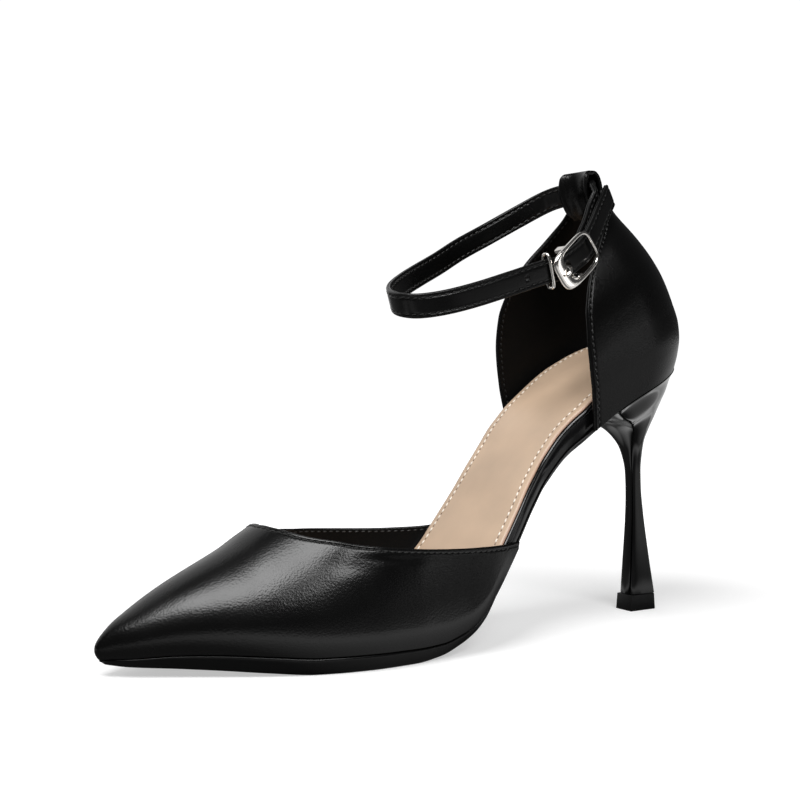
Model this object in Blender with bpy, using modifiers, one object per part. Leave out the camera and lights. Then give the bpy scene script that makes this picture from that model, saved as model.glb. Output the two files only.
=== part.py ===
import math
from bisect import bisect_right
from collections import namedtuple

import bmesh
import bpy
from mathutils import Matrix, Vector

# A left high heel: pointed d'Orsay pump with an ankle strap and a flared heel.
# Sizes are in millimetres and become metres in place(). x runs from the toe (-) to the heel (+),
# -y is the outer (lateral) side and +z is up. Tables count x from the middle of the heel tip.
MM = 0.001
SHIFT_X = 99.1
SHIFT_Y = 1.3

TOE_X = -209.0
BACK_X = 8.8
LENGTH = BACK_X - TOE_X

GAP = 0.3
VAMP_WALL = 1.7
QUARTER_WALL = 1.7
SOCK = 0.9
BREAST_X = -31.0
SOLE_END_X = BREAST_X - 0.4

SWELL = 2.2
SWELL_HEIGHT = 8.0
UNDER_TURN = 0.26
TOE_TUCK = 1.9
TUCK_REACH = 5.0
TUCK_HEIGHT = 4.6

TIP_HEIGHT = 5.8
TIP_FLARE = 0.35

STRAP_WIDTH = 8.0
STRAP_THICK = 1.8
HOLE_RADIUS = 1.35
SPARE_HOLE_RADIUS = 0.8
SPARE_HOLE_ROW = 23.4

BUCKLE_ROW = 26
BUCKLE_TURN = 8.0
BUCKLE_A = -0.9
BUCKLE_LENGTH = 20.8
BUCKLE_WIDTH = 13.4
PLATE_LENGTH = 4.8
END_BAR = 1.2
SIDE_BAR = 1.1
FRAME_THICK = 1.2
BAR_RADIUS = 0.7
BAR_A = -2.3
BAR_C = -2.0
LUG_LENGTH = 3.2
HOLE_A = -4.2
FRAME_BOW = 0.5
FRAME_POINTS = 56
KEEPER_ROW = 24.15
KEEPER_B = 5.7
KEEPER_C = 1.7
KEEPER_THICK = 0.9
KEEPER_WIDTH = 1.2
KEEPER_POINTS = 24

# Bottom line of the shoe, with the thickness of the outsole and of the board above it.
Ramp = namedtuple("Ramp", "x z sole board")
RAMP = [
    Ramp(-209.0, 4.2, 1.1, 1.6),
    Ramp(-200.0, 3.2, 2.7, 1.8),
    Ramp(-188.0, 2.7, 4.2, 2.0),
    Ramp(-176.0, 2.0, 4.9, 2.0),
    Ramp(-164.0, 1.0, 5.2, 2.0),
    Ramp(-150.0, 0.0, 5.3, 2.0),
    Ramp(-118.0, 0.0, 5.0, 2.0),
    Ramp(-108.0, 1.0, 4.3, 2.2),
    Ramp(-100.0, 3.6, 3.5, 2.8),
    Ramp(-95.0, 6.2, 3.0, 3.4),
    Ramp(-90.0, 10.3, 2.6, 4.0),
    Ramp(-84.8, 16.6, 2.2, 4.5),
    Ramp(-79.0, 24.4, 2.0, 4.8),
    Ramp(-74.0, 31.0, 2.0, 4.9),
    Ramp(-66.0, 41.2, 2.0, 5.0),
    Ramp(-58.0, 50.2, 2.0, 5.2),
    Ramp(-50.0, 58.4, 2.0, 5.8),
    Ramp(-41.4, 65.4, 2.0, 6.8),
    Ramp(-32.6, 71.2, 2.0, 7.8),
    Ramp(-23.5, 76.4, 2.0, 8.6),
    Ramp(-11.7, 81.8, 2.0, 9.0),
    Ramp(3.6, 87.6, 2.0, 9.0),
    Ramp(10.0, 89.4, 2.0, 9.0),
]

# Half widths of the lasted upper at the feather line, outer and inner side of the foot.
Girth = namedtuple("Girth", "x lateral medial")
OUTLINE = [
    Girth(-209.0, 0.0, 0.0),
    Girth(-205.0, 3.6, 3.6),
    Girth(-200.0, 7.2, 7.4),
    Girth(-190.0, 13.4, 12.8),
    Girth(-180.0, 19.3, 18.0),
    Girth(-170.0, 24.8, 22.8),
    Girth(-160.0, 29.6, 27.0),
    Girth(-150.0, 33.4, 30.4),
    Girth(-140.0, 35.8, 33.0),
    Girth(-130.0, 36.8, 34.2),
    Girth(-120.0, 36.4, 33.4),
    Girth(-110.0, 35.2, 30.6),
    Girth(-100.0, 34.0, 26.4),
    Girth(-90.0, 33.2, 21.6),
    Girth(-80.0, 31.0, 18.4),
    Girth(-72.0, 28.6, 18.2),
    Girth(-65.0, 26.0, 19.8),
    Girth(-58.0, 23.8, 21.6),
    Girth(-50.0, 23.4, 23.6),
    Girth(-42.0, 25.2, 25.0),
    Girth(-30.0, 25.7, 25.7),
    Girth(-18.0, 25.6, 25.6),
    Girth(-10.0, 24.7, 24.7),
    Girth(-2.0, 21.3, 21.3),
    Girth(3.4, 16.1, 16.1),
    Girth(7.0, 9.6, 9.6),
    Girth(8.8, 0.0, 0.0),
]

# Height of the last's ridge above the feather line, how full the section is, ridge's sideways shift.
Last = namedtuple("Last", "x rise full shift")
LAST = [
    Last(-209.0, 0.0, 0.00, 0.0),
    Last(-207.6, 5.0, 0.00, -0.1),
    Last(-206.0, 7.0, 0.00, -0.2),
    Last(-203.0, 9.6, -0.01, -0.4),
    Last(-198.0, 12.5, -0.03, -0.8),
    Last(-191.4, 16.1, -0.06, -1.2),
    Last(-185.0, 19.5, -0.08, -1.6),
    Last(-179.0, 22.6, -0.10, -1.9),
    Last(-172.6, 26.0, -0.11, -2.2),
    Last(-166.0, 29.9, -0.12, -2.5),
    Last(-160.0, 34.2, -0.12, -2.7),
    Last(-156.0, 36.9, -0.11, -2.8),
    Last(-150.0, 41.1, -0.09, -2.8),
    Last(-140.0, 48.4, -0.03, -2.6),
    Last(-130.0, 55.7, 0.03, -2.2),
    Last(-120.0, 61.8, 0.07, -1.6),
    Last(-110.0, 67.3, 0.09, -0.8),
    Last(-100.0, 71.4, 0.10, 0.0),
    Last(-90.0, 71.7, 0.10, 0.0),
    Last(-80.0, 70.0, 0.10, 0.0),
    Last(-70.0, 66.0, 0.10, 0.0),
]

# The vamp's topline by its length from the throat: girth angle down from the ridge, and x.
Topline = namedtuple("Topline", "walk girth x")
TOPLINE = [
    Topline(0.0, 0.0, -157.4),
    Topline(6.0, 9.0, -156.9),
    Topline(12.0, 17.6, -154.8),
    Topline(18.0, 24.8, -151.5),
    Topline(24.0, 31.2, -147.4),
    Topline(30.0, 37.2, -142.8),
    Topline(36.0, 42.6, -137.8),
    Topline(42.0, 47.0, -132.3),
    Topline(50.0, 51.2, -124.5),
    Topline(60.0, 54.5, -114.6),
    Topline(70.0, 57.4, -104.6),
    Topline(80.0, 60.9, -94.6),
    Topline(87.0, 65.2, -87.6),
    Topline(93.0, 70.8, -81.6),
    Topline(97.0, 78.5, -77.9),
    Topline(99.5, 86.0, -75.8),
]

# The inner side's topline runs this much lower in girth angle than the outer side's.
Inner = namedtuple("Inner", "walk girth")
INNER = [
    Inner(0.0, 0.0),
    Inner(8.0, 2.2),
    Inner(18.0, 3.6),
    Inner(30.0, 3.2),
    Inner(45.0, 1.8),
    Inner(60.0, 0.7),
    Inner(75.0, 0.3),
    Inner(90.0, -0.2),
    Inner(99.5, -2.0),
]

# The heel cup level by level above the seat: front edge, back, half width, depth of the back curve.
Cup = namedtuple("Cup", "rise front back half depth")
CUP = [
    Cup(0.0, -41.0, 9.0, 25.8, 27.2),
    Cup(4.5, -41.6, 10.3, 26.4, 27.4),
    Cup(9.2, -42.3, 10.8, 27.0, 27.5),
    Cup(16.0, -43.2, 9.8, 27.6, 27.4),
    Cup(24.0, -44.2, 6.8, 27.6, 27.0),
    Cup(34.0, -45.0, 2.4, 27.0, 26.0),
    Cup(42.0, -44.8, -2.2, 25.8, 24.0),
    Cup(50.0, -42.2, -7.2, 23.2, 22.0),
    Cup(56.0, -37.0, -11.2, 20.2, 20.0),
    Cup(60.0, -31.4, -13.8, 16.8, 17.0),
    Cup(65.0, -25.6, -16.6, 12.8, 14.0),
    Cup(72.0, -22.8, -19.4, 10.4, 14.0),
]

# The back tab's turn over the strap, as steps from the cup's highest level.
Fold = namedtuple("Fold", "x z")
FOLD = [
    Fold(0.0, 0.0),
    Fold(-0.7, 3.2),
    Fold(-1.9, 5.6),
    Fold(-4.0, 6.9),
    Fold(-6.7, 6.8),
    Fold(-8.4, 5.2),
    Fold(-8.8, 2.6),
    Fold(-8.5, -0.6),
    Fold(-7.2, -4.1),
    Fold(-5.0, -7.6),
    Fold(-2.1, -9.8),
]

# Heel rings from the tip up: front and back of the ring with their heights, half width, corner depth.
HeelRing = namedtuple("HeelRing", "front front_z back back_z half depth")
HEEL = [
    HeelRing(-5.6, 6.1, 6.6, 6.1, 4.0, 1.6),
    HeelRing(-5.2, 11.0, 5.8, 11.0, 3.8, 1.6),
    HeelRing(-4.8, 18.0, 4.8, 17.0, 3.5, 1.6),
    HeelRing(-4.3, 27.0, 3.4, 26.0, 3.1, 1.6),
    HeelRing(-3.8, 37.0, 2.0, 36.0, 2.7, 1.6),
    HeelRing(-3.9, 45.0, 1.1, 45.0, 2.5, 1.7),
    HeelRing(-4.3, 52.0, 0.9, 52.0, 2.6, 2.0),
    HeelRing(-5.0, 56.0, 1.2, 57.5, 3.2, 2.6),
    HeelRing(-5.9, 60.0, 1.7, 63.0, 4.5, 3.6),
    HeelRing(-7.3, 63.4, 2.9, 68.0, 6.8, 5.4),
    HeelRing(-9.9, 66.8, 4.4, 73.4, 10.4, 8.8),
    HeelRing(-14.6, 69.4, 6.0, 79.2, 14.8, 14.2),
    HeelRing(-22.2, 71.2, 7.6, 84.6, 19.8, 20.5),
]

# The strap's middle line from the buckle bar through the tunnel, round the ankle to its free end,
# with the forward tilt of its width.
Bend = namedtuple("Bend", "x y z tilt")
STRAP = [
    Bend(-51.4, -21.9, 125.7, 20.0),
    Bend(-44.5, -20.6, 130.4, 20.0),
    Bend(-39.2, -18.2, 136.0, 20.0),
    Bend(-34.2, -15.0, 142.0, 21.0),
    Bend(-30.2, -12.8, 147.6, 22.0),
    Bend(-28.7, -9.6, 151.0, 20.0),
    Bend(-25.0, -5.0, 152.5, 19.0),
    Bend(-22.9, 0.0, 152.9, 19.0),
    Bend(-25.0, 5.0, 152.4, 19.0),
    Bend(-28.9, 10.2, 151.3, 20.0),
    Bend(-31.6, 16.2, 149.4, 22.0),
    Bend(-39.0, 22.0, 144.4, 21.0),
    Bend(-50.0, 25.6, 138.0, 20.0),
    Bend(-61.8, 25.6, 132.2, 20.0),
    Bend(-73.0, 23.0, 126.6, 19.0),
    Bend(-83.6, 18.8, 122.2, 18.0),
    Bend(-93.6, 12.8, 118.4, 17.0),
    Bend(-102.6, 5.0, 114.9, 16.0),
    Bend(-108.6, -4.0, 112.2, 16.0),
    Bend(-109.8, -12.0, 110.6, 16.0),
    Bend(-106.4, -18.0, 110.2, 16.0),
    Bend(-98.6, -21.8, 111.5, 17.0),
    Bend(-88.0, -23.8, 114.2, 18.0),
    Bend(-76.0, -25.0, 117.8, 19.0),
    Bend(-62.6, -25.6, 121.8, 20.0),
    Bend(-56.2, -25.4, 123.3, 20.0),
    Bend(-50.0, -24.8, 126.4, 20.0),
    Bend(-44.0, -23.6, 130.4, 20.0),
    Bend(-38.5, -21.2, 136.0, 20.0),
    Bend(-33.2, -18.2, 141.8, 21.0),
    Bend(-28.2, -15.2, 147.0, 22.0),
    Bend(-24.6, -13.1, 150.6, 22.0),
]

# The buckle's tongue from the bar up through the strap and over the frame's wide plate.
Prong = namedtuple("Prong", "a b c radius")
PRONG = [
    Prong(-3.9, 0.5, -2.2, 0.65),
    Prong(-4.0, 0.5, -0.9, 0.7),
    Prong(-4.2, 0.4, 0.4, 0.7),
    Prong(-4.7, 0.2, 1.8, 0.7),
    Prong(-5.6, 0.0, 3.0, 0.7),
    Prong(-6.6, -0.2, 3.55, 0.7),
    Prong(-7.8, -0.4, 3.65, 0.7),
    Prong(-8.8, -0.6, 3.55, 0.62),
    Prong(-9.2, -0.7, 3.5, 0.4),
]


def track(keys, values):
    steps = [b - a for a, b in zip(keys, keys[1:])]
    rises = [(b - a) / h for a, b, h in zip(values, values[1:], steps)]
    slopes = [rises[0]]
    for left, right in zip(rises, rises[1:]):
        slopes.append(0.0 if left * right <= 0.0 else 2.0 * left * right / (left + right))
    slopes.append(rises[-1])

    def at(key):
        i = min(max(bisect_right(keys, key) - 1, 0), len(steps) - 1)
        t = min(max((key - keys[i]) / steps[i], 0.0), 1.0)
        s = 1.0 - t
        ends = values[i] * s * s * (1.0 + 2.0 * t) + values[i + 1] * t * t * (3.0 - 2.0 * t)
        return ends + steps[i] * t * s * (slopes[i] * s - slopes[i + 1] * t)

    return at


def station(x):
    part = min(max((x - TOE_X) / LENGTH, 0.0), 1.0)
    return math.acos(1.0 - 2.0 * part) / math.pi


def station_x(s):
    return TOE_X + LENGTH * (1.0 - math.cos(math.pi * s)) / 2.0


def column(rows, name, key="x", scale=None):
    keys = [getattr(row, key) for row in rows]
    if scale:
        keys = [scale(k) for k in keys]
    return track(keys, [getattr(row, name) for row in rows])


ramp_z = column(RAMP, "z")
sole_thick = column(RAMP, "sole")
board_thick = column(RAMP, "board")
outline = {-1: column(OUTLINE, "lateral", scale=station), 1: column(OUTLINE, "medial", scale=station)}
last_rise = column(LAST, "rise", scale=station)
last_full = column(LAST, "full", scale=station)
last_shift = column(LAST, "shift", scale=station)
topline_x = column(TOPLINE, "x", key="walk")
topline_girth = column(TOPLINE, "girth", key="walk")
inner_girth = column(INNER, "girth", key="walk")
cup_front = column(CUP, "front", key="rise")
cup_back = column(CUP, "back", key="rise")
cup_half = column(CUP, "half", key="rise")
cup_depth = column(CUP, "depth", key="rise")


def place(x, y, z):
    return Vector(((x + SHIFT_X) * MM, (y + SHIFT_Y) * MM, z * MM))


def half(side, x):
    return outline[side](station(x))


def edge(side, x, inset):
    steep = (half(side, x + 0.2) - half(side, x - 0.2)) / 0.4
    return half(side, x) - inset * math.hypot(1.0, steep)


def layer(x, up):
    steep = (ramp_z(x + 0.5) - ramp_z(x - 0.5)) / 1.0
    return ramp_z(x) + up * math.hypot(1.0, steep)


def seat(x):
    return layer(x, sole_thick(x) + GAP)


def vamp_point(p, q):
    s = math.hypot(p, q)
    x = station_x(s)
    lateral = outline[-1](s)
    medial = outline[1](s)
    reach = (lateral + medial) / 2.0
    middle = (medial - lateral) / 2.0
    flat = smooth_step(-98.0, -76.0, x)
    swell = SWELL * (1.0 - flat) * (1.0 - math.exp(-reach / 14.0))
    lift = SWELL_HEIGHT * (1.0 - math.exp(-reach / 12.0))
    base = seat(x)
    rise = last_rise(s) - lift
    full = last_full(s)
    side = 1.0 if p >= 0.0 else -1.0
    turn = abs(math.atan2(p, q)) * (1.0 + UNDER_TURN)
    if turn <= math.pi / 2.0:
        y = (reach + swell) * math.sin(turn) * (1.0 + full * math.cos(turn) ** 2)
        z = base + lift + rise * math.cos(turn) * (1.0 + full * math.sin(turn) ** 2)
    else:
        t = (turn - math.pi / 2.0) / (UNDER_TURN * math.pi / 2.0)
        y = reach + swell - swell * t * t
        z = base + lift * (1.0 - t)
    shift = last_shift(s) * max(math.cos(turn), 0.0) ** 2
    x += TOE_TUCK * math.exp(-reach / TUCK_REACH) * max(1.0 - (z - base) / TUCK_HEIGHT, 0.0) ** 2
    return x, middle + shift + side * y, z


def vamp_sheet(u, v):
    side = 1 if u <= 0.0 else -1
    walk = abs(u) * TOPLINE[-1].walk
    lower = inner_girth(walk) if u < 0.0 else 0.0
    girth = math.radians(topline_girth(walk) + lower)
    s = station(topline_x(walk))
    p = side * s * math.sin(girth)
    q = s * math.cos(girth)
    return vamp_point(p, q * (v + 1.0) / 2.0)


def cup_curve(front, back, half_width, depth, t):
    centre = back - depth
    if front >= centre:
        limit = math.acos(min((front - centre) / depth, 1.0))
        angle = (2.0 * t - 1.0) * limit
        return centre + depth * math.cos(angle), half_width * math.sin(angle)
    straight = centre - front
    arc = math.pi * math.sqrt((depth * depth + half_width * half_width) / 2.0)
    walk = t * (2.0 * straight + arc)
    if walk < straight:
        return front + walk, -half_width
    if walk > straight + arc:
        return front + (2.0 * straight + arc - walk), half_width
    angle = (walk - straight) / arc * math.pi - math.pi / 2.0
    return centre + depth * math.cos(angle), half_width * math.sin(angle)


def quarter_level(u, rise):
    back = cup_back(rise)
    x, y = cup_curve(cup_front(rise), back, cup_half(rise), cup_depth(rise), (u + 1.0) / 2.0)
    level = 0.6 * smooth_step(60.0, 72.0, rise)
    return x, y, seat(x + (back - x) * level) + rise


fold_x = track(list(range(len(FOLD))), [row.x for row in FOLD])
fold_z = track(list(range(len(FOLD))), [row.z for row in FOLD])
FOLD_SHARE = 0.32


def quarter_sheet(u, v):
    t = (v + 1.0) / 2.0
    top = CUP[-1].rise
    if t <= 1.0 - FOLD_SHARE:
        return quarter_level(u, top * t / (1.0 - FOLD_SHARE))
    x, y, z = quarter_level(u, top)
    step = (t - 1.0 + FOLD_SHARE) / FOLD_SHARE * (len(FOLD) - 1)
    return x + fold_x(step), y, z + fold_z(step)


def spline(points, t):
    span = t * (len(points) - 1)
    i = min(int(span), len(points) - 2)
    f = span - i
    p1 = points[i]
    p2 = points[i + 1]
    p0 = points[i - 1] if i > 0 else p1 + (p1 - p2)
    p3 = points[i + 2] if i + 2 < len(points) else p2 + (p2 - p1)
    bend = 2.0 * p0 - 5.0 * p1 + 4.0 * p2 - p3
    twist = 3.0 * (p1 - p2) + p3 - p0
    return 0.5 * (2.0 * p1 + (p2 - p0) * f + bend * f * f + twist * f * f * f)


strap_points = [Vector((row.x, row.y, row.z)) for row in STRAP]
strap_tilt = track([i / (len(STRAP) - 1) for i in range(len(STRAP))], [row.tilt for row in STRAP])


def strap_frame(t):
    spot = spline(strap_points, t)
    ahead = spline(strap_points, min(t + 0.002, 1.0)) - spline(strap_points, max(t - 0.002, 0.0))
    along = ahead.normalized()
    tilt = math.radians(strap_tilt(t))
    up = Vector((-math.sin(tilt), 0.0, math.cos(tilt)))
    across = (up - along * up.dot(along)).normalized()
    out = along.cross(across).normalized()
    return spot, along, across, out


def material(name, colour, roughness, metallic=0.0):
    made = bpy.data.materials.new(name)
    made.use_nodes = True
    shader = made.node_tree.nodes["Principled BSDF"]
    shader.inputs["Base Color"].default_value = (*colour, 1.0)
    shader.inputs["Roughness"].default_value = roughness
    shader.inputs["Metallic"].default_value = metallic
    return made


def add_part(name, bm, look, group):
    mesh = bpy.data.meshes.new(name)
    bm.to_mesh(mesh)
    bm.free()
    piece = bpy.data.objects.new(name, mesh)
    mesh.materials.append(look)
    group.objects.link(piece)
    return piece


def loft(rings, closed=False, cap_top=True):
    bm = bmesh.new()
    loops = [[bm.verts.new(spot) for spot in ring] for ring in rings]
    following = loops[1:] + loops[:1] if closed else loops[1:]
    count = len(rings[0])
    for low, high in zip(loops, following):
        for i in range(count):
            j = (i + 1) % count
            bm.faces.new((low[i], low[j], high[j], high[i]))
    if not closed:
        bm.faces.new(loops[0][::-1])
        if cap_top:
            bm.faces.new(loops[-1])
    bmesh.ops.recalc_face_normals(bm, faces=bm.faces)
    return bm


def sheet(point, columns, rows):
    bm = bmesh.new()
    bmesh.ops.create_grid(bm, x_segments=columns, y_segments=rows, size=1.0)
    for vert in bm.verts:
        vert.co = place(*point(vert.co.x, vert.co.y))
    return bm


def shell(name, bm, wall, look, group):
    piece = add_part(name, bm, look, group)
    solid = piece.modifiers.new("wall", "SOLIDIFY")
    solid.thickness = wall * MM
    solid.offset = -1.0
    solid.use_even_offset = True
    return piece


def plate(low, high, inset, start, end, count, corner=0.0):
    rings = []
    for i in range(count + 1):
        x = station_x(start + (end - start) * i / count)
        left = -edge(-1, x, inset(x))
        right = edge(1, x, inset(x))
        cut = min(corner, 0.3 * (right - left))
        bottom = low(x)
        rings.append([
            place(x, left + cut, bottom),
            place(x, right - cut, bottom),
            place(x, right, bottom + cut),
            place(x, right, high(x)),
            place(x, left, high(x)),
            place(x, left, bottom + cut),
        ])
    return loft(rings)


def first_station(inset, least):
    s = 0.01
    while min(edge(-1, station_x(s), inset(station_x(s))), edge(1, station_x(s), inset(station_x(s)))) < least:
        s += 0.002
    return s


def last_station(inset, least):
    s = 0.99
    while min(edge(-1, station_x(s), inset(station_x(s))), edge(1, station_x(s), inset(station_x(s)))) < least:
        s -= 0.002
    return s


def smooth_step(low, high, x):
    t = min(max((x - low) / (high - low), 0.0), 1.0)
    return t * t * (3.0 - 2.0 * t)


def sole_inset(x):
    toe = 1.8 * (1.0 - smooth_step(TOE_X, TOE_X + 11.0, x))
    return 0.4 + toe + 1.8 * smooth_step(-96.0, -74.0, x)


def board_inset(x):
    toe = 2.6 * (1.0 - smooth_step(TOE_X, TOE_X + 17.0, x))
    return 2.2 + toe + 0.5 * smooth_step(-46.0, -40.0, x)


def sock_inset(x):
    return board_inset(x) + 0.5


def board_low(x):
    return seat(x)


def board_high(x):
    return layer(x, sole_thick(x) + GAP + board_thick(x))


def sock_low(x):
    return layer(x, sole_thick(x) + 2.0 * GAP + board_thick(x))


def sock_high(x):
    return layer(x, sole_thick(x) + 2.0 * GAP + board_thick(x) + SOCK)


def sole_high(x):
    return layer(x, sole_thick(x))


def heel_ring(row, count):
    spots = []
    for i in range(count):
        x, y = cup_curve(row.front, row.back, row.half, row.depth, i / (count - 1))
        part = (x - row.front) / (row.back - row.front)
        spots.append(place(x, y, row.front_z + (row.back_z - row.front_z) * part))
    return spots


def seat_ring(scale, count):
    front = BREAST_X
    spots = []
    for i in range(count):
        x, y = cup_curve(front, BACK_X - 0.2, 25.3, 27.0, i / (count - 1))
        x = front + 4.0 + (x - front - 4.0) * scale if scale < 1.0 else x
        spots.append(place(x, y * scale, layer(x, sole_thick(x))))
    return spots


strap_spans = len(STRAP) - 1
buckle_spot, strap_along, strap_across, buckle_out = strap_frame(BUCKLE_ROW / strap_spans)
buckle_turn = Matrix.Rotation(math.radians(BUCKLE_TURN), 3, buckle_out)
buckle_along = buckle_turn @ strap_along
buckle_across = buckle_turn @ strap_across


# On the buckle a runs along the strap to its free end, b across it and c outwards.
def on_buckle(a, b, c):
    return place(*(buckle_spot + buckle_along * a + buckle_across * b + buckle_out * c))


def rounded(reach_a, reach_b, turn):
    a = math.cos(turn)
    b = math.sin(turn)
    reach = ((a / reach_a) ** 4 + (b / reach_b) ** 4) ** -0.25
    return a * reach, b * reach


def frame_bm():
    reach = BUCKLE_LENGTH / 2.0
    window = (BUCKLE_LENGTH - PLATE_LENGTH - END_BAR) / 2.0
    window_at = (PLATE_LENGTH - END_BAR) / 2.0
    under = STRAP_THICK / 2.0 + GAP
    deep = under - BAR_C + BAR_RADIUS + 0.2
    rings = []
    for i in range(FRAME_POINTS):
        turn = 2.0 * math.pi * i / FRAME_POINTS
        ao, bo = rounded(reach, BUCKLE_WIDTH / 2.0, turn)
        ai, bi = rounded(window, BUCKLE_WIDTH / 2.0 - SIDE_BAR, turn)
        ai += window_at
        ring = []
        for a, b, upper in ((ao, bo, False), (ao, bo, True), (ai, bi, True), (ai, bi, False)):
            bow = FRAME_BOW * (1.0 - (a / reach) ** 2)
            lug = abs(a + BUCKLE_A - BAR_A) < LUG_LENGTH / 2.0 and abs(b) > STRAP_WIDTH / 2.0 + GAP
            ring.append(on_buckle(a + BUCKLE_A, b, under + FRAME_THICK + bow if upper else under - deep * lug))
        rings.append(ring)
    return loft(rings, closed=True)


def tube(path, radii, across, sides):
    rings = []
    for i, spot in enumerate(path):
        along = (path[min(i + 1, len(path) - 1)] - path[max(i - 1, 0)]).normalized()
        side = (across - along * across.dot(along)).normalized()
        out = along.cross(side)
        ring = []
        for k in range(sides):
            turn = 2.0 * math.pi * k / sides
            ring.append(spot + (side * math.cos(turn) + out * math.sin(turn)) * radii[i] * MM)
        rings.append(ring)
    return loft(rings)


def keeper_bm():
    spot, along, across, out = strap_frame(KEEPER_ROW / strap_spans)
    rings = []
    for i in range(KEEPER_POINTS):
        turn = 2.0 * math.pi * i / KEEPER_POINTS
        ring = []
        for a, grow in ((-1, -1), (1, -1), (1, 1), (-1, 1)):
            b, c = rounded(KEEPER_B + grow * KEEPER_THICK / 2.0, KEEPER_C + grow * KEEPER_THICK / 2.0, turn)
            ring.append(place(*(spot + along * a * KEEPER_WIDTH / 2.0 + across * b + out * c)))
        rings.append(ring)
    return loft(rings, closed=True)


def cutter(name, bm):
    tool = add_part(name, bm, silver, tools)
    tool.hide_render = True
    tool.display_type = "WIRE"
    return tool


def combine(piece, tool, operation):
    step = piece.modifiers.new(tool.name, "BOOLEAN")
    step.operation = operation
    step.solver = "EXACT"
    step.object = tool


def punch(piece, name, t, ahead, radius):
    spot, along, across, out = strap_frame(t)
    ends = [place(*(spot + along * ahead + out * c)) for c in (-2.0, 2.0)]
    combine(piece, cutter(name, tube(ends, (radius, radius), along, 12)), "DIFFERENCE")


for old in list(bpy.data.objects):
    bpy.data.objects.remove(old, do_unlink=True)

shoe = bpy.data.collections.new("high_heel")
bpy.context.scene.collection.children.link(shoe)
tools = bpy.data.collections.new("cutters")
bpy.context.scene.collection.children.link(tools)

black_leather = material("black_leather", (0.012, 0.012, 0.013), 0.42)
black_sole = material("black_sole", (0.015, 0.015, 0.016), 0.6)
black_wrap = material("black_wrap", (0.010, 0.010, 0.011), 0.3)
beige_lining = material("beige_lining", (0.72, 0.55, 0.40), 0.55)
black_gloss = material("black_gloss", (0.006, 0.006, 0.007), 0.08)
black_rubber = material("black_rubber", (0.012, 0.012, 0.012), 0.5)
silver = material("silver", (0.78, 0.77, 0.75), 0.12, 1.0)

STATIONS = 72
sole_start = first_station(sole_inset, 1.0)
sole_bm = plate(ramp_z, sole_high, sole_inset, sole_start, station(SOLE_END_X), STATIONS, 0.7)
add_part("outsole", sole_bm, black_sole, shoe)

board_ends = first_station(board_inset, 1.0), last_station(board_inset, 2.0)
board_bm = plate(board_low, board_high, board_inset, *board_ends, STATIONS)
add_part("insole_board", board_bm, black_wrap, shoe)

sock_ends = first_station(sock_inset, 1.0), last_station(sock_inset, 2.0)
sock_bm = plate(sock_low, sock_high, sock_inset, *sock_ends, STATIONS)
add_part("sock", sock_bm, beige_lining, shoe)

shell("vamp", sheet(vamp_sheet, 40, 16), VAMP_WALL, black_leather, shoe)
shell("quarter", sheet(quarter_sheet, 28, 30), QUARTER_WALL, black_leather, shoe)

RING_POINTS = 27
rings = [heel_ring(row, RING_POINTS) for row in HEEL]
rings.append(seat_ring(1.0, RING_POINTS))
rings.append(seat_ring(0.5, RING_POINTS))
add_part("heel", loft(rings), black_gloss, shoe)

tip = HEEL[0]
foot = tip._replace(front=tip.front - TIP_FLARE, back=tip.back + TIP_FLARE, half=tip.half + TIP_FLARE * 0.6,
                    front_z=0.0, back_z=0.0)
head = tip._replace(front_z=TIP_HEIGHT, back_z=TIP_HEIGHT)
add_part("top_lift", loft([heel_ring(foot, RING_POINTS), heel_ring(head, RING_POINTS)]), black_rubber, shoe)

STRAP_RINGS = 120
strap_rings = []
for i in range(STRAP_RINGS + 1):
    spot, along, across, out = strap_frame(i / STRAP_RINGS)
    wide = across * STRAP_WIDTH / 2.0
    deep = out * STRAP_THICK / 2.0
    strap_rings.append([place(*(spot + a * wide + b * deep)) for a, b in ((-1, -1), (1, -1), (1, 1), (-1, 1))])
strap = add_part("ankle_strap", loft(strap_rings), black_leather, shoe)
punch(strap, "prong_hole", BUCKLE_ROW / strap_spans, HOLE_A, HOLE_RADIUS)
punch(strap, "spare_hole", SPARE_HOLE_ROW / strap_spans, 0.0, SPARE_HOLE_RADIUS)

frame = add_part("buckle_frame", frame_bm(), silver, shoe)
bar_reach = BUCKLE_WIDTH / 2.0 - 0.5 * SIDE_BAR
bar_path = [on_buckle(BAR_A, -bar_reach, BAR_C), on_buckle(BAR_A, bar_reach, BAR_C)]
combine(frame, cutter("buckle_bar", tube(bar_path, (BAR_RADIUS, BAR_RADIUS), buckle_along, 12)), "UNION")

prong_path = [on_buckle(row.a, row.b, row.c) for row in PRONG]
add_part("buckle_prong", tube(prong_path, [row.radius for row in PRONG], buckle_across, 10), silver, shoe)

add_part("buckle_keeper", keeper_bm(), silver, shoe)
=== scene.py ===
from bisect import bisect_right
from math import acos, atan2, cos, exp, hypot, pi, radians, sin, sqrt

import bmesh
import bpy
from mathutils import Matrix, Vector


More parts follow.
